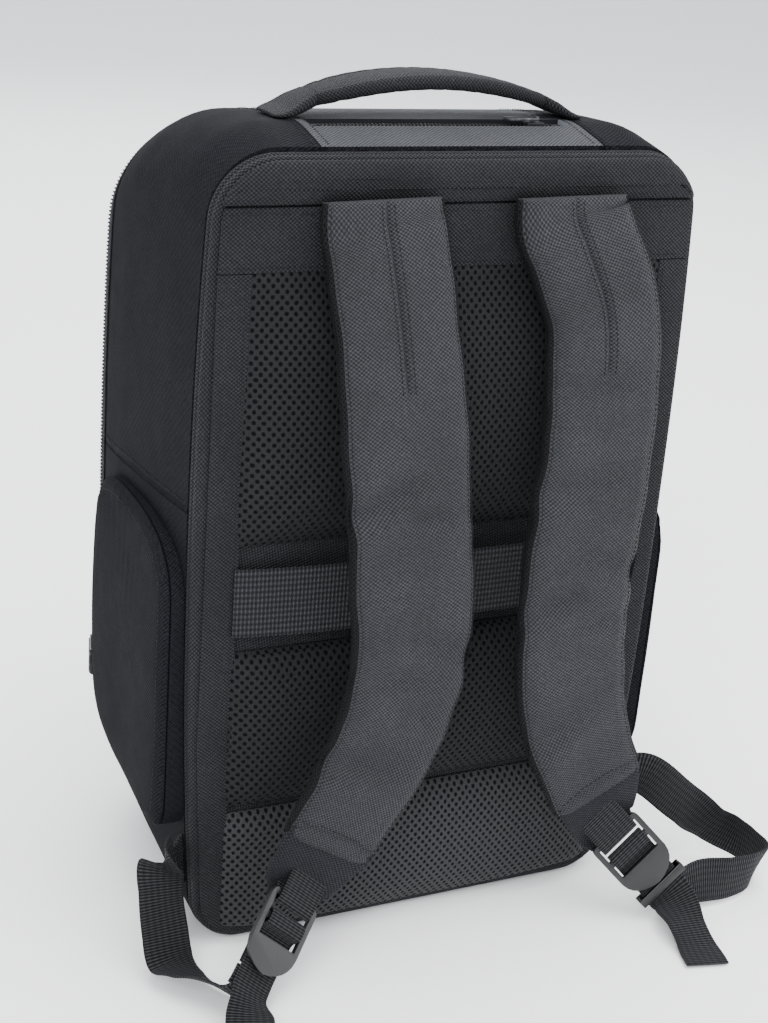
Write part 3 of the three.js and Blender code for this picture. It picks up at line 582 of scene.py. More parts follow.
def stitchRow(name, points, outward, material=None, pitch=0.0033, length=0.0022, thick=0.00042):
    # a row of sewn stitches along a line; outward gives the surface's direction at each point
    p = np.array(points, float)
    o = np.array(outward, float)
    if o.ndim == 1:
        o = np.repeat(o[None], len(p), 0)
    distance = np.concatenate([[0], np.cumsum(np.linalg.norm(np.diff(p, axis=0), axis=1))])
    verts, faces = [], []
    for s in np.arange(pitch / 2, distance[-1], pitch):
        middle = np.array([np.interp(s, distance, p[:, c]) for c in range(3)])
        ahead = np.array([np.interp(s + 0.0006, distance, p[:, c]) for c in range(3)])
        behind = np.array([np.interp(s - 0.0006, distance, p[:, c]) for c in range(3)])
        up = unit(np.array([np.interp(s, distance, o[:, c]) for c in range(3)]))
        way = unit(ahead - behind)
        side = np.cross(up, way)
        base = len(verts)
        for along, lift, wide in ((-0.5, -0.2, 0.5), (-0.28, 0.8, 1), (0.28, 0.8, 1), (0.5, -0.2, 0.5)):
            for k in (-1, 1):
                rise = up * lift * thick * 0.5
                verts.append(middle + way * along * length + rise + side * k * wide * thick * 0.5)
        for k in range(3):
            a = base + 2 * k
            faces.append((a, a + 2, a + 3, a + 1))
    piece = pieceFrom(name, verts, faces, None, material or stitchThread)
    piece.modifiers.new("thickness", "SOLIDIFY").thickness = thick * 0.7
    makeActive(piece)
    bpy.ops.object.modifier_apply(modifier="thickness")
    return boxCloth(piece)


# the case's outline
stations = np.array([
    (-95, 150, 2, 494, 34, 32), (-86, 151, 0, 498, 38, 36), (-51, 153.5, 0, 505.5, 44, 46),
    (-10, 155, 0, 504, 48, 58), (30, 156, 0, 500, 52, 72), (62, 155, 0, 491, 57, 80),
    (84, 150, 4, 475, 57, 80), (95, 138, 14, 452, 50, 70)]) / 1000
caseShape = {"barrel": 0.0085, "barrelZ": 0.275, "wall": 0.005, "smoothing": 0.007,
             "cornerSteps": 14, "sideSteps": 26, "flatSteps": 16, "roofSeam": 0.089, "shoulderSteps": 4}


def stationAt(y):
    spread = [(-1, 0.25), (0, 0.5), (1, 0.25)]
    return [sum(w * np.interp(y + k * caseShape["smoothing"], stations[:, 0], stations[:, c]) for k,
                w in spread)
            for c in range(1, 6)]


def bow(z):
    return caseShape["barrel"] * max(1 - abs((z - caseShape["barrelZ"]) / 0.24) ** 2.4, 0)


def caseOutline(y, inset=0.0):
    # (x, z) round the case at y, anticlockwise seen from the wearer's side, from the middle of the underside
    half, low, high, topRadius, bottomRadius = stationAt(y)
    top, bottom = max(topRadius - inset, 0.003), max(bottomRadius - inset, 0.003)
    w, z0, z1 = half - inset, low + inset, high - inset
    quarter, sideSteps, flat = caseShape["cornerSteps"], caseShape["sideSteps"], caseShape["flatSteps"]
    right = [((w - bottom) * i / flat, z0) for i in range(flat)]
    roofEdge = min(caseShape["roofSeam"], (w - top) * 0.985)
    roofSteps = flat - caseShape["shoulderSteps"]
    roof = [roofEdge * i / roofSteps for i in range(1, roofSteps + 1)]
    shoulderSteps = caseShape["shoulderSteps"]
    roof += [roofEdge + (w - top - roofEdge) * i / shoulderSteps for i in range(1, shoulderSteps)]
    right += [(w - bottom + bottom * math.sin(a), z0 + bottom - bottom * math.cos(a))
              for a in (math.pi / 2 * i / quarter for i in range(quarter + 1))]
    right += [(w, z0 + bottom + (z1 - top - z0 - bottom) * i / sideSteps) for i in range(1, sideSteps)]
    right += [(w - top + top * math.cos(a), z1 - top + top * math.sin(a))
              for a in (math.pi / 2 * i / quarter for i in range(quarter + 1))]
    right += [(x, z1) for x in reversed(roof)]
    points = right + [(0, z1)] + [(-x, z) for x, z in reversed(right[1:])]
    return [(x + math.copysign(1, x) * bow(z) * (x / half) ** 2, z) for x, z in points]


def caseRing(y, inset=0.0, atY=None):
    return [(x, y if atY is None else atY, z) for x, z in caseOutline(y, inset)]


def evenly(low, high, step):
    return list(np.linspace(low, high, max(int(round((high - low) / step)), 1) + 1))


def plainBox(name, low, high):
    deselectAll()
    middle = [(a + b) / 2 for a, b in zip(low, high)]
    bpy.ops.mesh.primitive_cube_add(size=1, location=middle)
    piece = bpy.context.object
    piece.name = name
    piece.scale = [b - a for a, b in zip(low, high)]
    bpy.ops.object.transform_apply(location=True, rotation=True, scale=True)
    return piece


def cut(piece, cutter, operation="DIFFERENCE", keep=False):
    makeActive(piece)
    modifier = piece.modifiers.new("cut", "BOOLEAN")
    modifier.object = cutter
    modifier.operation = operation
    modifier.solver = "EXACT"
    bpy.ops.object.modifier_apply(modifier="cut")
    if not keep:
        bpy.data.objects.remove(cutter)
    return piece


# body and lid: one lofted shell, parted at the zipper
parting = {"y": 0.074, "footZ": 0.062, "opening": 0.0006, "slotHalf": 0.084, "slotY": (-0.058, -0.041)}
outerYs = evenly(-0.086, 0.095, 0.0045)


def wholeShell(name):
    rings = [caseRing(y) for y in outerYs]
    rings = [caseRing(-0.086, 0.0018, -0.0862)] + rings
    rings += [caseRing(0.095, 0.0012, 0.0966), caseRing(0.095, 0.0034, 0.0978),
              caseRing(0.095, 0.009, 0.0985),
              caseRing(0.095, 0.03, 0.0987)]
    return loft(name, rings, shellCloth)


def shellHollow(name):
    wall = caseShape["wall"]
    rings = [caseRing(-0.086, wall, -0.1)] + [caseRing(y, wall) for y in evenly(-0.086, 0.090, 0.0055)]
    return loft(name, rings, liningCloth)


body = wholeShell("case_body")
lid = wholeShell("case_lid")
cut(body, shellHollow("hollow"))
cut(lid, shellHollow("hollow"))
lidSpace = ((-0.2, parting["y"], parting["footZ"]), (0.2, 0.12, 0.6))
cut(body, plainBox("lid_space", *lidSpace))
raised = parting["opening"]
cut(lid, plainBox("lid_keep", (-0.2, parting["y"] + raised, parting["footZ"] + raised), (0.2, 0.12, 0.6)),
    "INTERSECT")
slotLow, slotHigh = parting["slotY"]
cut(body, plainBox("slot_space", (-parting["slotHalf"], slotLow, 0.47),
                   (parting["slotHalf"], slotHigh, 0.52)))


def trimShell(piece):
    # the front face was drawn out past the case's front, so it is laid back flat
    co = readPoints(piece)
    beyond = co[:, 1] > 0.0945
    co[beyond, 1] = 0.0945 + (co[beyond, 1] - 0.0945) * 0.32
    writePoints(piece, co)
    smoothUpTo(piece, 38)


for shell, bodyName, node in ((body, "case", "body_shell"), (lid, "lid", "lid_shell")):
    trimShell(shell)
    shell.data.materials.append(roofClothPaintedLight)
    shell.data.materials.append(liningCloth)
    topSlot = len(shell.data.materials) - 2
    caseMiddle = Vector((0, 0, 0.25))
    # the top panel between its two seams takes the lighter weave, which is painted light from above
    for polygon in shell.data.polygons:  # the top panel between its two seams is the coarser weave
        overTop = polygon.normal.z > 0.3 and polygon.center.z > seamPlaces["topFrom"]
        if overTop and abs(polygon.center.x) < seamPlaces["topX"] - 0.0006:
            polygon.material_index = topSlot
        inward = polygon.normal.dot((polygon.center - caseMiddle).normalized()) < -0.2
        if inward and abs(polygon.center.y) < 0.0925:
            polygon.material_index = topSlot + 1
    place(shell, bodyName, "shell_fabric", node)
print("shell parted")

hinge = bevelledCopy("lid_hinge_strip", "lid_hinge_web", 0.0005, panelCloth)
place(hinge, "case", "panel_fabric", "lid_hinge_strip")


# back panel: the frame with its rounded edge, the piped seam, and the flat strips
backEdge = [(-0.0905, 0.0012), (-0.0912, 0.0003), (-0.0928, 0.0), (-0.0944, 0.0004), (-0.0955, 0.0016),
            (-0.096, 0.0036), (-0.0962, 0.012)]
backRings = [[(x, y, z) for x, z in caseOutline(-0.095, inset + 0.0003)] for y, inset in backEdge]
backFrame = loft("back_panel_frame", backRings, panelCloth)
place(backFrame, "case", "panel_fabric", "back_frame")
nodes["back_board"].data.materials.clear()
nodes["back_board"].data.materials.append(boardPlastic)

pipingSetup = {"y": -0.0882, "inset": 0.0021, "radius": 0.0026}
pipingLine = np.array([(x, pipingSetup["y"], z) for x, z in caseOutline(-0.095, pipingSetup["inset"])])
pipingRings = []
for i in range(len(pipingLine)):
    ahead = unit(pipingLine[(i + 1) % len(pipingLine)] - pipingLine[i - 1])
    outwards = np.array((ahead[2], 0, -ahead[0]))
    pipingRings.append([pipingLine[i] + (np.array((0, math.sin(a),
                                                   0)) + outwards * math.cos(a)) * pipingSetup["radius"]
                        for a in (2 * math.pi * k / 12 for k in range(12))])
piping = loft("back_edge_piping", pipingRings, panelCloth, closedRoute=True)
place(piping, "case", "panel_fabric", "back_piping")

for node, name in (("yoke_strip", "yoke_band"), ("binding_left", "side_band_left"),
                   ("binding_right", "side_band_right")):
    strip = bevelledCopy(node, name, 0.0008, panelCloth, 3)
    place(strip, "case", "panel_fabric", node)


# back pads: foam swollen under their cover by the cloth simulation
padSetup = {
    "upper_back_pad": {"name": "back_pad_upper", "x": 0.1345, "z": (0.2705, 0.4335), "rise": 0.0085,
                       "fill": 0.65,
                       "soft": (0.030, 0.020)},
    "lumbar_pad": {"name": "back_pad_lumbar", "x": 0.1345, "z": (0.0985, 0.2040), "rise": 0.0105,
                   "fill": 0.75,
                   "soft": (0.026, 0.018)},
    "lower_back_pad": {"name": "back_pad_lower", "x": 0.1345, "z": (0.0065, 0.0950), "rise": 0.0085,
                       "fill": 0.65,
                       "soft": (0.026, 0.018), "mesh": lowerMesh},
}
padSheet = {"spacing": 0.0044, "backY": -0.0964, "rimY": -0.0973, "pressure": 3.0, "cap": 0.005,
            "bumps": 0.0016}


def padForm(setup):
    # a closed pad: a crowned front sheet and a flat back, in even squares, narrowing with the case's corners
    low, high = setup["z"]
    rows = evenly(low, high, padSheet["spacing"])
    columns = evenly(-1, 1, padSheet["spacing"] / setup["x"])
    outline = [p for p in caseOutline(-0.095, 0.005) if p[0] > 0]
    outline.sort(key=lambda p: p[1])
    xs, zs = [p[0] for p in outline], [p[1] for p in outline]
    points, faces = [], []
    for y in ("front", "back"):
        for z in rows:
            half = min(setup["x"], float(np.interp(z, zs[2:-2], xs[2:-2])))
            for s in columns:
                x = s * half
                side = min((half - abs(x)) / setup["soft"][0], 1)
                end = min(min(z - low, high - z) / setup["soft"][1], 1)
                crown = (1 - (1 - side) ** 2.4) * (1 - (1 - end) ** 2.4)
                front = padSheet["rimY"] - setup["rise"] * crown
                points.append((x, front if y == "front" else padSheet["backY"], z))
    n, m = len(rows), len(columns)
    for k in range(n - 1):
        for i in range(m - 1):
            a = k * m + i
            faces.append((a, a + 1, a + m + 1, a + m))
            faces.append(tuple(n * m + v for v in (a, a + m, a + m + 1, a + 1)))
    rim = [i for i in range(m)] + [k * m + m - 1 for k in range(1, n)]
    rim += [(n - 1) * m + i for i in range(m - 2, -1, -1)] + [k * m for k in range(n - 2, 0, -1)]
    for a, b in zip(rim, rim[1:] + rim[:1]):
        faces.append((a, a + n * m, b + n * m, b))
    if signedVolume(points, faces) < 0:
        faces = [tuple(reversed(face)) for face in faces]
    return pieceFrom(setup["name"], points, faces, None, setup.get("mesh", padMesh))


def swellPad(piece):
    # cloth pressure inside the cover, which stays held along its sewn edge and behind
    start = readPoints(piece)
    group = piece.vertex_groups.new(name="held")
    group.add([int(i) for i in np.nonzero(start[:, 1] > padSheet["rimY"] - 0.0002)[0]], 1.0, "REPLACE")
    cloth = piece.modifiers.new("cloth", "CLOTH")
    cloth.settings.quality = 5
    cloth.settings.mass = 0.25
    cloth.settings.tension_stiffness = 18
    cloth.settings.compression_stiffness = 12
    cloth.settings.bending_stiffness = 0.6
    cloth.settings.use_pressure = True
    cloth.settings.uniform_pressure_force = padSheet["pressure"]
    cloth.settings.vertex_group_mass = "held"
    cloth.settings.effector_weights.gravity = 0
    cloth.collision_settings.use_collision = False
    cloth.point_cache.frame_start = 1
    cloth.point_cache.frame_end = 20
    for step in range(1, 21):
        bpy.context.scene.frame_set(step)
    makeActive(piece)
    bpy.ops.object.modifier_apply(modifier="cloth")
    bpy.context.scene.frame_set(1)
    move = readPoints(piece) - start
    far = np.linalg.norm(move, axis=1)
    move *= (np.minimum(far, padSheet["cap"]) / np.maximum(far, 1e-9))[:, None]
    writePoints(piece, start + move)
    piece.vertex_groups.clear()
    print("swollen:", piece.name, "largest move", round(float(far.max()), 5))


for node, setup in padSetup.items():
    pad = padForm(setup)
    swellPad(pad)
    co = readPoints(pad)
    front = np.clip((padSheet["rimY"] - co[:, 1]) / 0.006, 0, 1)
    co[:, 1] += front * smoothNoise(co, 24, 3.1) * padSheet["bumps"]
    if node == "upper_back_pad":  # slack at its top under the yoke, full at its foot
        t = np.clip((co[:, 2] - setup["z"][0]) / (setup["z"][1] - setup["z"][0]), 0, 1)
        co[:, 1] += front * np.interp(t, [0, 0.18, 0.6, 0.88, 1], [0, -0.0035, 0, 0.0045, 0.002])
    co[:, 1] = np.minimum(co[:, 1], padSheet["backY"])
    writePoints(pad, co)
    withModifier(pad, "SUBSURF", levels=1, render_levels=1)
    pad.data.polygons.foreach_set("use_smooth", [True] * len(pad.data.polygons))
    place(boxCloth(pad), "case", "air_mesh", node, pad=setup["fill"])
print("back pads made")

topPadSetup = {"footZ": 0.4678, "fill": 0.7, "flat": 24,
               "crown": [(-0.0962, 0.0016), (-0.0974, 0.0009), (-0.0988, 0.0012), (-0.1001, 0.0028),
                         (-0.1010, 0.0052),
                         (-0.1016, 0.0080), (-0.1019, 0.0105)]}


def topPadRing(y, inset):
    foot = topPadSetup["footZ"]
    kept = [i for i, p in enumerate(caseOutline(-0.095, 0.0012)) if p[1] > foot + 0.001]
    line = [caseOutline(-0.095, 0.0012 + inset)[i] for i in kept]
    low = foot + inset * 0.9
    line = [(x, max(z, low)) for x, z in line]
    flat = topPadSetup["flat"]
    ends = ((line[-1][0], low), (line[0][0], low))
    line += [(ends[0][0] + (ends[1][0] - ends[0][0]) * k / flat, low) for k in range(flat + 1)]
    return [(x, y, z) for x, z in line]


topPad = loft("top_edge_pad", [topPadRing(y, inset) for y, inset in topPadSetup["crown"]], topCloth)
co = readPoints(topPad)
co[:, 1] += (co[:, 1] < -0.098) * smoothNoise(co, 30, 2.2) * 0.0016
writePoints(topPad, co)
place(boxCloth(topPad), "case", "panel_fabric", "top_pad", pad=topPadSetup["fill"])

foamCore = loft("back_foam_core", [caseRing(y, 0.0055) for y in evenly(-0.0858, -0.0642, 0.0045)], padFoam)
place(foamCore, "case", "foam", "back_pad_core", pad=0.9)

luggageRoute = [(-134, -99.6), (-118, -102.4), (-80, -106), (0, -107), (80, -106), (118, -102.4),
                (134, -99.6)]
luggageBand = webbingBand("luggage_band", [(x / 1000, y / 1000, 0.2365) for x, y in luggageRoute],
                          [(0, 0, 1)] * len(luggageRoute), 0.043, 0.0018, 60, luggageWebbing)
place(luggageBand, "case", "webbing", "luggage_strap")


# shoulder straps
strapSetup = {
    "widths": (72, 74, 76, 78, 78, 76, 72, 66),
    "thicknesses": (12, 15, 15, 15, 15, 14, 11),
    "steps": 170,
    "fill": 0.7,
    "centreSeam": 0.108,
    "endSeam": 0.006,
    "cornerRadius": 0.004,
    "left": {
        "route": [(-60, -107.5, 472.5), (-59.6, -108.6, 461), (-57, -111, 446), (-53, -120, 410),
                  (-50, -130, 370), (-46, -137, 322), (-41, -141, 268), (-37, -142, 222), (-41, -142, 182),
                  (-51, -142, 149), (-67, -143, 119), (-86, -145, 88.5)],
        "creases": [(0.165, 0.5, 0.007, 0.0016), (0.182, -0.2, 0.006, 0.0012), (0.262, -0.5, 0.008, 0.0014),
                    (0.285, 0.25, 0.009, 0.0012), (0.305, -0.1, 0.007, 0.0010), (0.345, 0.4, 0.008, 0.0012)],
    },
    "right": {
        "route": [(60, -107.5, 472.5), (60.4, -108.8, 461), (67, -113.6, 444), (79, -122, 410),
                  (82, -128, 370), (79, -136, 322), (74, -140, 272), (72, -142, 226), (75, -142, 185),
                  (84, -142, 145), (95, -142, 118), (108, -142, 91.5)],
        "creases": [(0.12, 0.1, 0.007, 0.0012), (0.175, 0.4, 0.008, 0.0012), (0.225, -0.4, 0.008, 0.0014),
                    (0.247, 0.3, 0.007, 0.0014), (0.262, -0.1, 0.006, 0.0010), (0.33, 0.5, 0.010, 0.0012)],
    },
}
frontAcross = (-0.985, -0.94, -0.86, -0.74, -0.6, -0.46, -0.32, -0.2, -0.1, -0.05, -0.022, 0, 0.022, 0.05,
               0.1, 0.2, 0.32,
               0.46, 0.6, 0.74, 0.86, 0.94, 0.985)


def shoulderStrap(side):
    setup = strapSetup[side]
    steps = strapSetup["steps"]
    route = np.array(setup["route"]) / 1000
    line, along = catmullRom(route, steps)
    length = np.concatenate([[0], np.cumsum(np.linalg.norm(np.diff(line, axis=0), axis=1))])
    rings = []
    for i in range(steps + 1):
        t = i / steps
        half = np.interp(t, np.linspace(0, 1, 8), strapSetup["widths"]) / 2000
        thick = np.interp(t, np.linspace(0, 1, 7), strapSetup["thicknesses"]) / 2000
        direction = unit(along[i])
        face = unit(np.array((0, -1, 0)) - direction * (-direction[1]))
        across = np.cross(direction, face)
        s0 = length[i]
        toEnd = length[-1] - s0
        ring = []
        for s in frontAcross:
            rise = thick * (1 - 0.10 * s * s - 0.75 * max(abs(s) - 0.74, 0) ** 1.6 / 0.115)
            seam = np.clip((strapSetup["centreSeam"] - s0) / 0.004, 0, 1) * math.exp(-(s / 0.035) ** 2)
            rise -= 0.0026 * seam
            rise -= 0.0011 * math.exp(-((toEnd - strapSetup["endSeam"] - 0.006 * (1 - s * s)) / 0.0016) ** 2)
            rise -= 0.0007 * math.exp(-((abs(s) - 0.9) / 0.03) ** 2)
            for place0, lean, wide, deep in setup["creases"]:
                d = (s0 - place0 - lean * s * half * 0.7) / (1.3 * wide)
                reach = math.exp(-((s - lean) / 0.75) ** 2)
                rise += 2.8 * deep * reach * (math.exp(-(d - 0.8) ** 2) - 1.2 * math.exp(-(d + 0.5) ** 2))
            ring.append((s, rise))
        back = [(1.0, thick * 0.1), (1.0, -thick * 0.4), (0.95, -thick * 0.85), (0.84, -thick),
                (0.4, -thick), (0, -thick),
                (-0.4, -thick), (-0.84, -thick), (-0.95, -thick * 0.85), (-1.0, -thick * 0.4),
                (-1.0, thick * 0.1)]
        wave = 1 + 0.012 * math.sin(s0 * 61 + (0 if side == "left" else 2)) + 0.008 * math.sin(s0 * 149)
        ring += back
        closing = 1 - 0.35 * math.exp(-s0 / 0.0022) - 0.45 * math.exp(-toEnd / 0.0025)
        corner = strapSetup["cornerRadius"]
        half -= corner - math.sqrt(max(corner ** 2 - max(corner - toEnd, 0) ** 2, 0))
        rings.append([line[i] + across * s * half * wave + face * f * closing for s, f in ring])
    strap = loft(f"shoulder_strap_{side}", rings, strapCloth)
    strap.data.materials.append(edgeMesh)
    size = len(rings[0])
    fabricTo = len(frontAcross) - 1
    for k, polygon in enumerate(strap.data.polygons):
        if k < steps * size and not (1 <= k % size < fabricTo - 1):
            polygon.material_index = 1
    place(strap, f"strap_{side}", "strap_fabric", f"strap_pad_{side}", pad=strapSetup["fill"])
    rings = np.array(rings)
    out = unit(np.array((0, -1, 0)))
    rows = {
        "edge_a": (rings[3:-3, 2] + rings[3:-3, 1]) / 2,
        "edge_b": (rings[3:-3, 20] + rings[3:-3, 21]) / 2,
    }
    seamEnd = int(np.searchsorted(length, strapSetup["centreSeam"]))
    rows["centre_a"] = rings[2:seamEnd, 8]
    rows["centre_b"] = rings[2:seamEnd, 14]
    endSeam = []
    for j, s in enumerate(frontAcross[2:-2]):
        wanted = length[-1] - strapSetup["endSeam"] - 0.006 * (1 - s * s) - 0.003
        k = int(np.argmin(abs(length - wanted)))
        endSeam.append(rings[k, j + 2])
    rows["end"] = np.array(endSeam)
    for label, points in rows.items():
        row = stitchRow(f"strap_stitches_{side}_{label}", points + out * 0.0003, (0, -1, 0.05))
        place(row, f"strap_{side}", "strap_fabric")
    return strap


for side in ("left", "right"):
    shoulderStrap(side)
print("shoulder straps made")


# buckles and webbing
buckleSetup = {
    "left": {"bar": (-0.105, -0.148, 0.0585), "hang": (-0.6, -0.45, -0.66), "floorAcross": (-0.82, 0.57, 0),
             "tail": [(-0.148, -0.193, 0.008), (-0.155, -0.206, 0.0025), (-0.164, -0.222, 0.0015)]},
    "right": {"bar": (0.122, -0.146, 0.0605), "hang": (0.62, -0.35, -0.7), "floorAcross": (-0.97, -0.22, 0),
              "tail": [(0.159, -0.188, 0.009), (0.158, -0.203, 0.0025), (0.154, -0.221, 0.0015)]},
}
slackRoutes = {
    "left": {
        "route": [(-160, -88, 66), (-170, -93, 62), (-173, -101, 48), (-173, -110, 28), (-172, -121, 12),
                  (-166, -135, 11), (-156, -150, 12.6), (-150.4, -161, 13.2), (-147.6, -167.2, 14.4),
                  (-145.6, -169.2, 15.4)],
        "across": [(-0.5, -0.3, -0.8), (-0.8, -0.2, -0.55), (-1, -0.2, 0), (-1, -0.1, 0), (-1, 0, 0.1),
                   (-0.92, 0, 0.35), (-0.8, 0, 0.6), (-0.74, 0, 0.67), (-0.74, 0, 0.67), (-0.74, 0, 0.67)],
    },
    "right": {
        "route": [(161, -88, 66), (178, -93, 66), (204, -103, 46), (228, -110, 27), (242, -119, 20),
                  (247, -133, 18), (244, -148, 17), (232, -158, 17), (211, -161, 17), (187, -159, 18)],
        "across": [(0.4, 0, -0.9), (0.3, -0.2, -0.9), (0.5, -0.3, -0.8), (0.3, 0, -0.95), (0, 0, -1),
                   (0, 0, -1), (-0.1, 0.4, -0.85), (-0.1, 0.1, -0.95), (-0.2, -0.1, -0.95),
                   (-0.5, -0.2, -0.8)],
    },
}
loopRoute = [(0, -28, 3.8), (0, -12, 3.8), (0, -3, 3.7), (0, 2, 3.6), (0, 5.2, 2.2), (0, 6, 0),
             (0, 5.2, -2.2), (0, 2, -3.6), (0, -3, -3.7), (0, -12, -3.8), (0, -28, -3.8)]
tailRoute = [(0, 46, -5.6), (0, 36, -5.6), (0, 24, -5.4), (0, 15, -4.6), (0, 10.6, -2.4), (0, 10.2, 0.5),
             (0, 11.6, 3), (0, 15, 3.6), (0, 19, 3), (0, 20.6, 0.6), (0, 22.4, -1.8), (0, 28, -3),
             (0, 40, -3.1), (0, 52, -3), (0, 60, -1.6)]
for side, setup in buckleSetup.items():
    origin, down = np.array(setup["bar"]), unit(np.array(setup["hang"], float))
    face = unit(np.array((0, -1, 0)) - down * (-down[1]))
    across = np.cross(down, face)

    def at(p):
        return origin + (across * p[0] + down * p[1] + face * p[2]) / 1000

    lock = bevelledCopy(f"ladder_lock_{side}", f"ladder_lock_frame_{side}", 0.0011, bucklePlastic, 3, 40)
    place(lock, f"buckle_{side}", "buckle_plastic", f"ladder_lock_{side}")
    strapEnd = np.array(strapSetup[side]["route"][-1]) / 1000
    strapWay = unit(strapEnd - np.array(strapSetup[side]["route"][-2]) / 1000)
    strapAcross = np.cross(strapWay, (0, -1, 0))
    tabLine = [strapEnd - strapWay * 0.007, strapEnd, strapEnd * 0.55 + at((0, -6, -5.0)) * 0.45,
               at((0, -6, -5.6)), at((0, 4, -6.2))]
    tab = webbingBand(f"strap_end_tab_{side}", tabLine, [strapAcross, strapAcross,
                                                         (strapAcross + across) / 2, across, across],
                      lambda t: float(np.interp(t, (0, 0.25, 0.6, 0.85, 1),
                                                (0.062, 0.0625, 0.052, 0.039, 0.034))),
                      lambda t: float(np.interp(t, (0, 0.3, 0.7, 1), (0.0066, 0.0062, 0.0040, 0.0024))), 40,
                      endCloth)
    place(tab, f"strap_{side}", "strap_fabric", f"strap_end_{side}")
    loop = webbingBand(f"buckle_loop_{side}", [at(p) for p in loopRoute], [across] * 2, 0.029, 0.0015, 70,
                       strapWebbing)
    place(loop, f"strap_{side}", "webbing", f"buckle_webbing_{side}")
    tail = webbingBand(f"strap_tail_{side}", [at(p) for p in tailRoute] + setup["tail"],
                       [across] * len(tailRoute) + [setup["floorAcross"]] * 3, 0.029, 0.0013, 150,
                       strapWebbing)
    place(tail, f"buckle_{side}", "webbing", f"webbing_tail_{side}")
    slackSetup = slackRoutes[side]
    route = [np.array(p) / 1000 for p in slackSetup["route"]] + [at((0, 61, -7.4)), at((0, 55, -5.9)),
                                                                 at((0, 47.4, -5.6))]
    slack = webbingBand(f"slack_strap_{side}", route, list(slackSetup["across"]) + [across] * 3, 0.030,
                        0.0018, 150,
                        strapWebbing)
    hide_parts(f"slack_webbing_{side}")
    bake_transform(slack)
    corner = bevelledCopy(f"corner_tab_{side}", f"corner_patch_{side}", 0.0009, panelCloth, 2)
    place(corner, "case", "panel_fabric", f"corner_tab_{side}")
keeper = bevelledCopy("webbing_keeper", "tail_keeper", 0.0006, bucklePlastic, 2)
place(keeper, "buckle_right", "buckle_plastic", "webbing_keeper")
print("buckles and webbing made")


# carry handle
handleSetup = {"middleY": -0.027, "half": 0.074, "rootZ": 0.5155, "topZ": 0.531, "steps": 60}
gripSection = [(-1, 0), (-0.97, 0.5), (-0.88, 0.9), (-0.8, 0.78), (-0.55, 1), (-0.2, 1.06), (0.2, 1.06),
               (0.55, 1), (0.8, 0.78), (0.88, 0.9), (0.97, 0.5), (1, 0), (0.97, -0.55), (0.86, -0.95),
               (0.5, -1), (0, -1), (-0.5, -1), (-0.86, -0.95), (-0.97, -0.55)]


def gripRing(x, z, out, halfWide, halfThick):
    return [np.array((x, handleSetup["middleY"] + s * halfWide, z)) + out * f * halfThick for s,
            f in gripSection]


gripRings = []
rise = handleSetup["topZ"] - 0.0045 - handleSetup["rootZ"]
for i in range(handleSetup["steps"] + 1):
    t = i / handleSetup["steps"] * 2 - 1
    slope = -rise * 2 * t / handleSetup["half"]
    out = unit(np.array((-slope * (1 - t ** 6), 0, 1)))
    crease = 1 - 0.10 * math.exp(-((abs(t) - 0.82) / 0.02) ** 2) - 0.05 * math.sin(t * 21) ** 8
    gripRings.append(gripRing(handleSetup["half"] * t, handleSetup["rootZ"] + rise * (1 - t * t), out,
                              0.019 - 0.005 * t ** 6, (0.0046 - 0.0008 * t ** 4) * crease))
grip = loft("handle_padded_grip", gripRings, topCloth)
place(grip, "handle", "panel_fabric", "handle_grip", pad=0.7)
for side, sign in (("left", -1), ("right", 1)):
    endStations = np.array([(0.0744, 0.5155, 0.014, 0.0040), (0.083, 0.5119, 0.0172, 0.0036),
                            (0.091, 0.5081, 0.0188, 0.0024), (0.097, 0.5068, 0.0178, 0.0014),
                            (0.100, 0.5065, 0.0145, 0.0008)])
    xs = np.linspace(0.0744, 0.100, 20)
    sections = [[np.interp(x, endStations[:, 0], endStations[:, c]) for c in range(1, 4)] for x in xs]
    rings = [gripRing(sign * x, z, np.array((0, 0, 1)), wide, thick) for x,
             (z, wide, thick) in zip(xs, sections)]
    root = loft(f"handle_root_{side}", rings, topCloth)
    place(root, "case", "panel_fabric", f"handle_end_{side}", pad=0.4)
gripRings = np.array(gripRings)
for label, column in (("a", 3), ("b", 8)):
    row = stitchRow(f"handle_stitches_{label}", gripRings[2:-2, column] + np.array((0, 0, 0.0002)), (0, 0, 1))
    place(row, "handle", "panel_fabric")
print("handle made")


# inside: padded dividers, the sleeve divider and the lid's mesh pocket
for node in ("sleeve_divider", "divider_lower", "divider_upper", "divider_lower_upright",
             "divider_upper_upright"):
    divider = bevelledCopy(node, "padded_" + node, 0.0022, liningCloth, 4)
    place(divider, "case", "lining", node, pad=0.8)
meshPocket = bevelledCopy("lid_mesh_pocket", "lid_net_pocket", 0.0007, lowerMesh, 2)
place(meshPocket, "lid", "air_mesh", "lid_mesh_pocket")
netSetup = {"bandWidth": 0.014, "bandThick": 0.0016, "proud": 0.0006}
netLow, netHigh = [np.array(corner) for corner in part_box("lid_mesh_pocket")]
bandRow = [(x, netLow[1] - netSetup["proud"], netHigh[2] - netSetup["bandWidth"] * 0.55)
           for x in np.linspace(netLow[0] + 0.002, netHigh[0] - 0.002, 5)]
netBand = webbingBand("net_pocket_elastic", bandRow, [(0, 0, 1)] * 5, netSetup["bandWidth"],
                      netSetup["bandThick"], 60,
                      strapWebbing)
place(netBand, "lid", "webbing")


# side pockets: a lofted dish, parted by its zipper
pocketSetup = {
    "outline": [(-88, 92), (-88, 240), (-84, 254), (-70, 266), (-48, 273), (-20, 275.5), (14, 275.5),
                (36, 271), (51, 259), (58, 240), (60, 215), (60, 130), (56, 108), (42, 92), (14, 84),
                (-40, 79), (-78, 79)],
    "wall": 0.0026, "part": 0.168, "points": 110, "fill": 0.25,
}


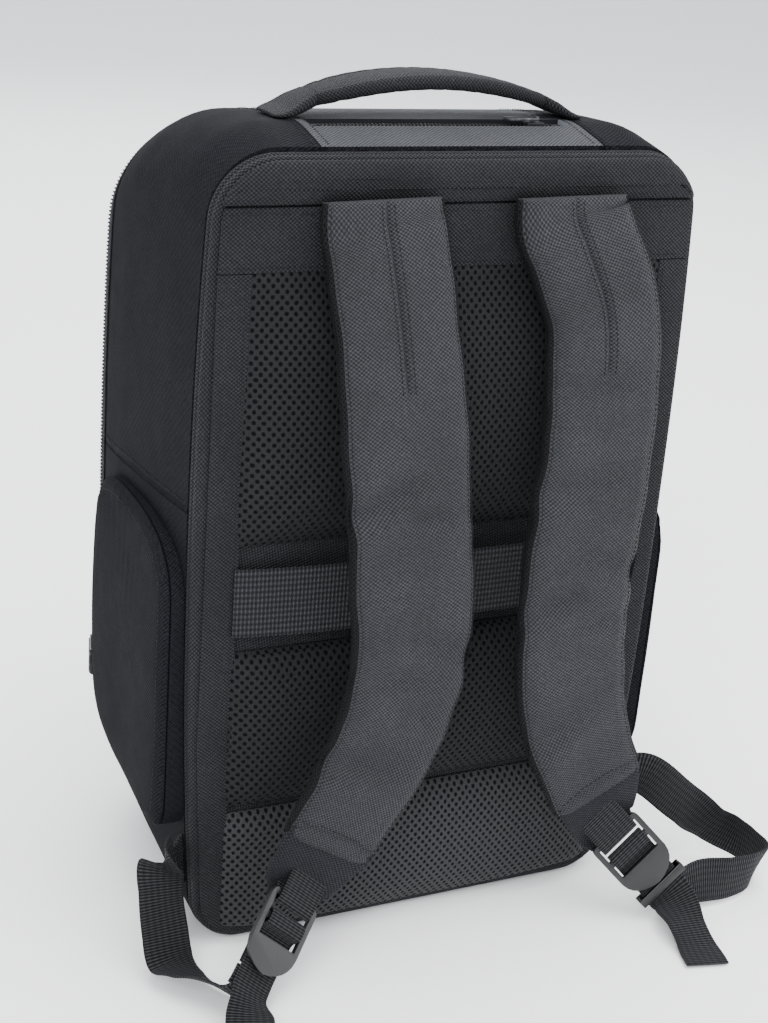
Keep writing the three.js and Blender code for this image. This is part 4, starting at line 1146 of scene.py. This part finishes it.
def evenOutline(points, count):
    loop = np.array(points + [points[0]], float) / 1000
    distance = np.concatenate([[0], np.cumsum(np.linalg.norm(np.diff(loop, axis=0), axis=1))])
    s = np.linspace(0, distance[-1], count, endpoint=False)
    even = np.stack([np.interp(s, distance, loop[:, 0]), np.interp(s, distance, loop[:, 1])], 1)
    for _ in range(4):
        even = (np.roll(even, 1, 0) + 2 * even + np.roll(even, -1, 0)) / 4
    return even


pocketLine = evenOutline(pocketSetup["outline"], pocketSetup["points"])
pocketCentre = pocketLine.mean(0)


def pocketRing(sign, x, inset):
    ahead = np.roll(pocketLine, -1, 0) - np.roll(pocketLine, 1, 0)
    inward = np.stack([ahead[:, 1], -ahead[:, 0]], 1)
    inward /= np.linalg.norm(inward, axis=1)[:, None]
    if np.mean(np.sum(inward * (pocketCentre - pocketLine), 1)) < 0:
        inward = -inward
    moved = pocketLine + inward * min(inset, 0.012)
    if inset > 0.012:  # further in, the rings close evenly on the middle
        moved = pocketCentre + (moved - pocketCentre) * (1 - (inset - 0.012) / 0.075)
    return [(sign * x, y, z) for y, z in moved]


def seatedRow(piece, ring):
    # a closed row of points laid down on a piece's skin, for its stitches
    seats = [piece.closest_point_on_mesh(Vector(point)) for point in ring]
    row = np.array([hit[1] + hit[2] * 0.0001 for hit in seats])
    return np.vstack([row, row[:1]])


def shellSkin(name, inset):
    return loft(name, [caseRing(y, inset) for y in evenly(-0.095, 0.095, 0.008)], shellCloth)


for side, sign in (("left", -1), ("right", 1)):
    wall = pocketSetup["wall"]
    part = pocketSetup["part"]
    gussetRings = [pocketRing(sign, x, 0) for x in (0.150, 0.158, 0.164, part - 0.0006)]
    gussetRings += [pocketRing(sign, part - 0.0003, 0.0006), pocketRing(sign, part - 0.0003, wall - 0.0004)]
    gussetRings += [pocketRing(sign, x, wall) for x in (part - 0.0008, 0.160, 0.150)]
    gusset = loft(f"pocket_side_{side}", gussetRings, shellCloth, closedRoute=True)
    cut(gusset, shellSkin("skin", -0.0004))
    smoothUpTo(gusset, 40)
    place(gusset, "case", "shell_fabric", f"pocket_gusset_{side}")
    coverRings = [pocketRing(sign, part + x, i) for x, i in (
        (0.0035, 0.0845), (0.0035, 0.065), (0.0035, 0.05), (0.0034, 0.035), (0.0033, 0.02), (0.0028, 0.0095),
        (0.0016, 0.0056), (0.0008, 0.0034), (0.0003, wall), (0.0003, 0.0004), (0.0009, 0), (0.0022, 0.0006),
        (0.0040, 0.0026), (0.0052, 0.0060), (0.0058, 0.0105), (0.0060, 0.016), (0.0060, 0.022),
        (0.0061, 0.029), (0.0061, 0.036), (0.0061, 0.044), (0.0061, 0.052), (0.0061, 0.06), (0.0061, 0.068),
        (0.0061, 0.076), (0.0061, 0.0845))]
    cover = loft(f"pocket_front_{side}", coverRings, shellCloth)
    co = readPoints(cover)
    outside = np.abs(co[:, 0]) > part + 0.002
    high = np.clip((co[:, 2] - 0.2) / 0.07, 0, 1)
    puckers = np.sin(co[:, 1] * 620 + smoothNoise(co, 30, 1.7) * 3) * high * 0.0007
    sag = smoothNoise(co, 14, 5.0) * 0.0016
    co[:, 0] += sign * outside * (puckers + sag - 0.0006)
    writePoints(cover, co)
    bpy.context.view_layer.update()
    edgeRow = seatedRow(cover, pocketRing(sign, part + 0.0062, 0.0078))
    row = stitchRow(f"pocket_stitches_{side}", edgeRow, (sign, 0, 0))
    place(row, "side_pocket_" + side, "shell_fabric")
    place(boxCloth(cover), "side_pocket_" + side, "shell_fabric", f"pocket_cover_{side}",
          pad=pocketSetup["fill"])
print("side pockets made")

# front pocket on the lid
frontSetup = {"x": (-0.112, 0.112), "z": (0.092, 0.300), "radii": (0.030, 0.030, 0.022, 0.022), "y": 0.0953}


def roundedLine(u, v, radii, steps=12):
    points = []
    centres = [(u[0] + radii[0], v[0] + radii[0], math.pi), (u[1] - radii[1], v[0] + radii[1], -math.pi / 2),
               (u[1] - radii[2], v[1] - radii[2], 0), (u[0] + radii[3], v[1] - radii[3], math.pi / 2)]
    for (cu, cv, start), radius in zip(centres, radii):
        points += [(cu + radius * math.cos(start + a), cv + radius * math.sin(start + a))
                   for a in (math.pi / 2 * i / steps for i in range(steps + 1))]
    return points


def frontRing(y, inset):
    x, z, radii = frontSetup["x"], frontSetup["z"], frontSetup["radii"]
    line = roundedLine((x[0] + inset, x[1] - inset), (z[0] + inset, z[1] - inset),
                       [max(r - inset, 0.004) for r in radii])
    return [(a, y, b) for a, b in line]


y0 = frontSetup["y"]
frontRings = [frontRing(y0 + out, inset) for out, inset in (
    (0.0190, 0.098), (0.0190, 0.05), (0.0188, 0.017), (0.0165, 0.008), (0.012, 0.0035), (0.004, 0.003),
    (0, 0.003), (0, 0), (0.004, 0), (0.012, 0), (0.0165, 0.0012), (0.0192, 0.004), (0.0208, 0.0085),
    (0.0213, 0.016), (0.0214, 0.03), (0.0214, 0.045), (0.0214, 0.06), (0.0214, 0.075), (0.0214, 0.09),
    (0.0214, 0.098))]
frontPocket = loft("front_pocket_panel", frontRings, panelCloth)
bpy.context.view_layer.update()
edgeRow = seatedRow(frontPocket, frontRing(y0 + 0.0212, 0.0105))
row = stitchRow("front_pocket_stitches", edgeRow, (0, 1, 0))
place(row, "front_pocket", "panel_fabric")
place(boxCloth(frontPocket), "front_pocket", "panel_fabric", "front_pocket_cover", pad=0.3)


# zippers: tapes, teeth, sliders and pull tabs
def archLine(y, lift):
    points = [(x, z) for x, z in caseOutline(y) if z > parting["footZ"] + 0.004]
    right = [p for p in points if p[0] > 0]
    left = [p for p in points if p[0] <= 0]
    line = np.array([(x, y, z) for x, z in right + left])
    ahead = np.gradient(line, axis=0)
    out = np.stack([ahead[:, 2], np.zeros(len(line)), -ahead[:, 0]], 1)
    out /= np.linalg.norm(out, axis=1)[:, None]
    return line + out * lift, out


def zipTape(name, y0, y1, body, node):
    rings = []
    edges = [(y0, 0.0003), (y1, 0.0003), (y1, 0.0013), ((y0 + y1) / 2, 0.0017), (y0, 0.0011)]
    lines = [archLine(y, lift)[0] for y, lift in edges]
    for i in range(len(lines[0])):
        rings.append([line[i] for line in lines])
    tape = loft(name, rings, tapeCloth)
    place(boxCloth(tape), body, "zip_tape", node)


def teethRow(name, line, out, way, body, pitch=0.0024, size=(0.0016, 0.0030, 0.0011)):
    # coil teeth standing on a zipper's edge; way points across towards the other row
    distance = np.concatenate([[0], np.cumsum(np.linalg.norm(np.diff(line, axis=0), axis=1))])
    verts, faces = [], []
    for s in np.arange(pitch, distance[-1], pitch):
        middle = np.array([np.interp(s, distance, line[:, c]) for c in range(3)])
        ahead = unit(np.array([np.interp(s + 0.001, distance, line[:, c]) for c in range(3)]) - middle)
        up = unit(np.array([np.interp(s, distance, out[:, c]) for c in range(3)]))
        sideways = np.cross(up, ahead)
        if sideways @ np.array(way) < 0:
            sideways = -sideways
        base = len(verts)
        for a, w, h in ((-1, 0, 0), (1, 0, 0), (0.7, 1, 0.1), (-0.7, 1, 0.1), (-0.8, 0.1, 1), (0.8, 0.1, 1),
                        (0.5, 0.9, 0.9), (-0.5, 0.9, 0.9)):
            verts.append(middle + ahead * a * size[0] / 2 + sideways * w * size[1] + up * h * size[2])
        for f in ((0, 3, 2, 1), (4, 5, 6, 7), (0, 1, 5, 4), (1, 2, 6, 5), (2, 3, 7, 6), (3, 0, 4, 7)):
            faces.append(tuple(base + k for k in f))
    row = pieceFrom(name, verts, faces, None, coilPlastic)
    facedOutwards(row)
    place(boxCloth(row), body, "zip_tape")


zipTape("main_zip_cloth_body", 0.065, 0.0737, "case", "main_zip_tape_body")
zipTape("main_zip_cloth_lid", 0.0746, 0.083, "lid", "main_zip_tape_lid")
for label, y, way, bodyName in (("body", 0.0716, (0, 1, 0), "case"), ("lid", 0.0768, (0, -1, 0), "lid")):
    line, out = archLine(y, 0.0014)
    teethRow(f"main_zip_teeth_{label}", line, out, way, bodyName, size=(0.0013, 0.0019, 0.0010))
topTape = bevelledCopy("top_zip_tape", "sleeve_zip_cloth", 0.0003, tapeCloth, 2)
place(topTape, "case", "zip_tape", "top_zip_tape")
for label, y, way in (("a", -0.0534, (0, 1, 0)), ("b", -0.0456, (0, -1, 0))):
    line = np.array([(x, y, 0.5024) for x in np.linspace(-0.078, 0.078, 60)])
    teethRow(f"sleeve_zip_teeth_{label}", line, np.array([(0, 0, 1)] * 60), way, "case",
             size=(0.0013, 0.0016, 0.0010))

for name in ("main_left", "main_right", "sleeve", "pocket_left", "pocket_right", "front_pocket"):
    slider = bevelledCopy(f"{name}_slider", f"{name}_zip_slider", 0.0004, zipMetal, 2, 35)
    place(slider, f"{name}_zip", "zip_metal", f"{name}_slider")
    tab = bevelledCopy(f"{name}_puller", f"{name}_zip_pull", 0.0003, zipMetal, 2, 35)
    place(tab, f"{name}_pull_tab", "zip_metal", f"{name}_puller")
print("zippers made")


# sewn seams on the back panel and the shell
def flatLine(points, y):
    return np.array([(x / 1000, y, z / 1000) for x, z in points])


seamSetup = {"panelY": -0.0984, "from": -0.084, "to": 0.062, "steps": 60, "proud": 0.0003,
             "topGap": 0.0045, "sideGap": 0.0042}
panelSeams = {
    "yoke_low": [(-142, 434.5), (-100, 434.5), (100, 434.5), (142, 434.5)],
    "yoke_high": [(-146, 464), (-100, 464), (100, 464), (146, 464)],
    "side_left_in": [(-134.5, 60), (-134.5, 428)],
    "side_right_in": [(134.5, 60), (134.5, 428)],
}
for label, points in panelSeams.items():
    row = stitchRow(f"panel_stitches_{label}", flatLine(points, seamSetup["panelY"]), (0, -1, 0),
                    length=0.0023)
    place(row, "case", "panel_fabric")
seamYs = np.linspace(seamSetup["from"], seamSetup["to"], seamSetup["steps"])
for side, sign in (("left", -1), ("right", 1)):
    for offset in (-seamSetup["topGap"], seamSetup["topGap"]):
        line = []
        for y in seamYs:
            x = seamPlaces["topX"] + offset
            outline = [p for p in caseOutline(y) if p[0] > 0 and p[1] > 0.4]
            outline.sort()
            z = np.interp(x, [p[0] for p in outline], [p[1] for p in outline])
            line.append((sign * x, y, z + seamSetup["proud"]))
        row = stitchRow(f"top_stitches_{side}_{'a' if offset < 0 else 'b'}", line, (0, 0, 1))
        place(row, "case", "shell_fabric")
    line = []
    for y in seamYs:
        z = seamPlaces["sideZ"] + seamPlaces["sideSlope"] * y + seamSetup["sideGap"]
        outline = [p for p in caseOutline(y) if p[0] > 0.12 and 0.1 < p[1] < 0.45]
        outline.sort(key=lambda p: p[1])
        x = np.interp(z, [p[1] for p in outline], [p[0] for p in outline])
        line.append((sign * (x + seamSetup["proud"]), y, z))
    row = stitchRow(f"side_stitches_{side}", line, (sign, 0, 0))
    place(row, "case", "shell_fabric")
print("seams sewn")
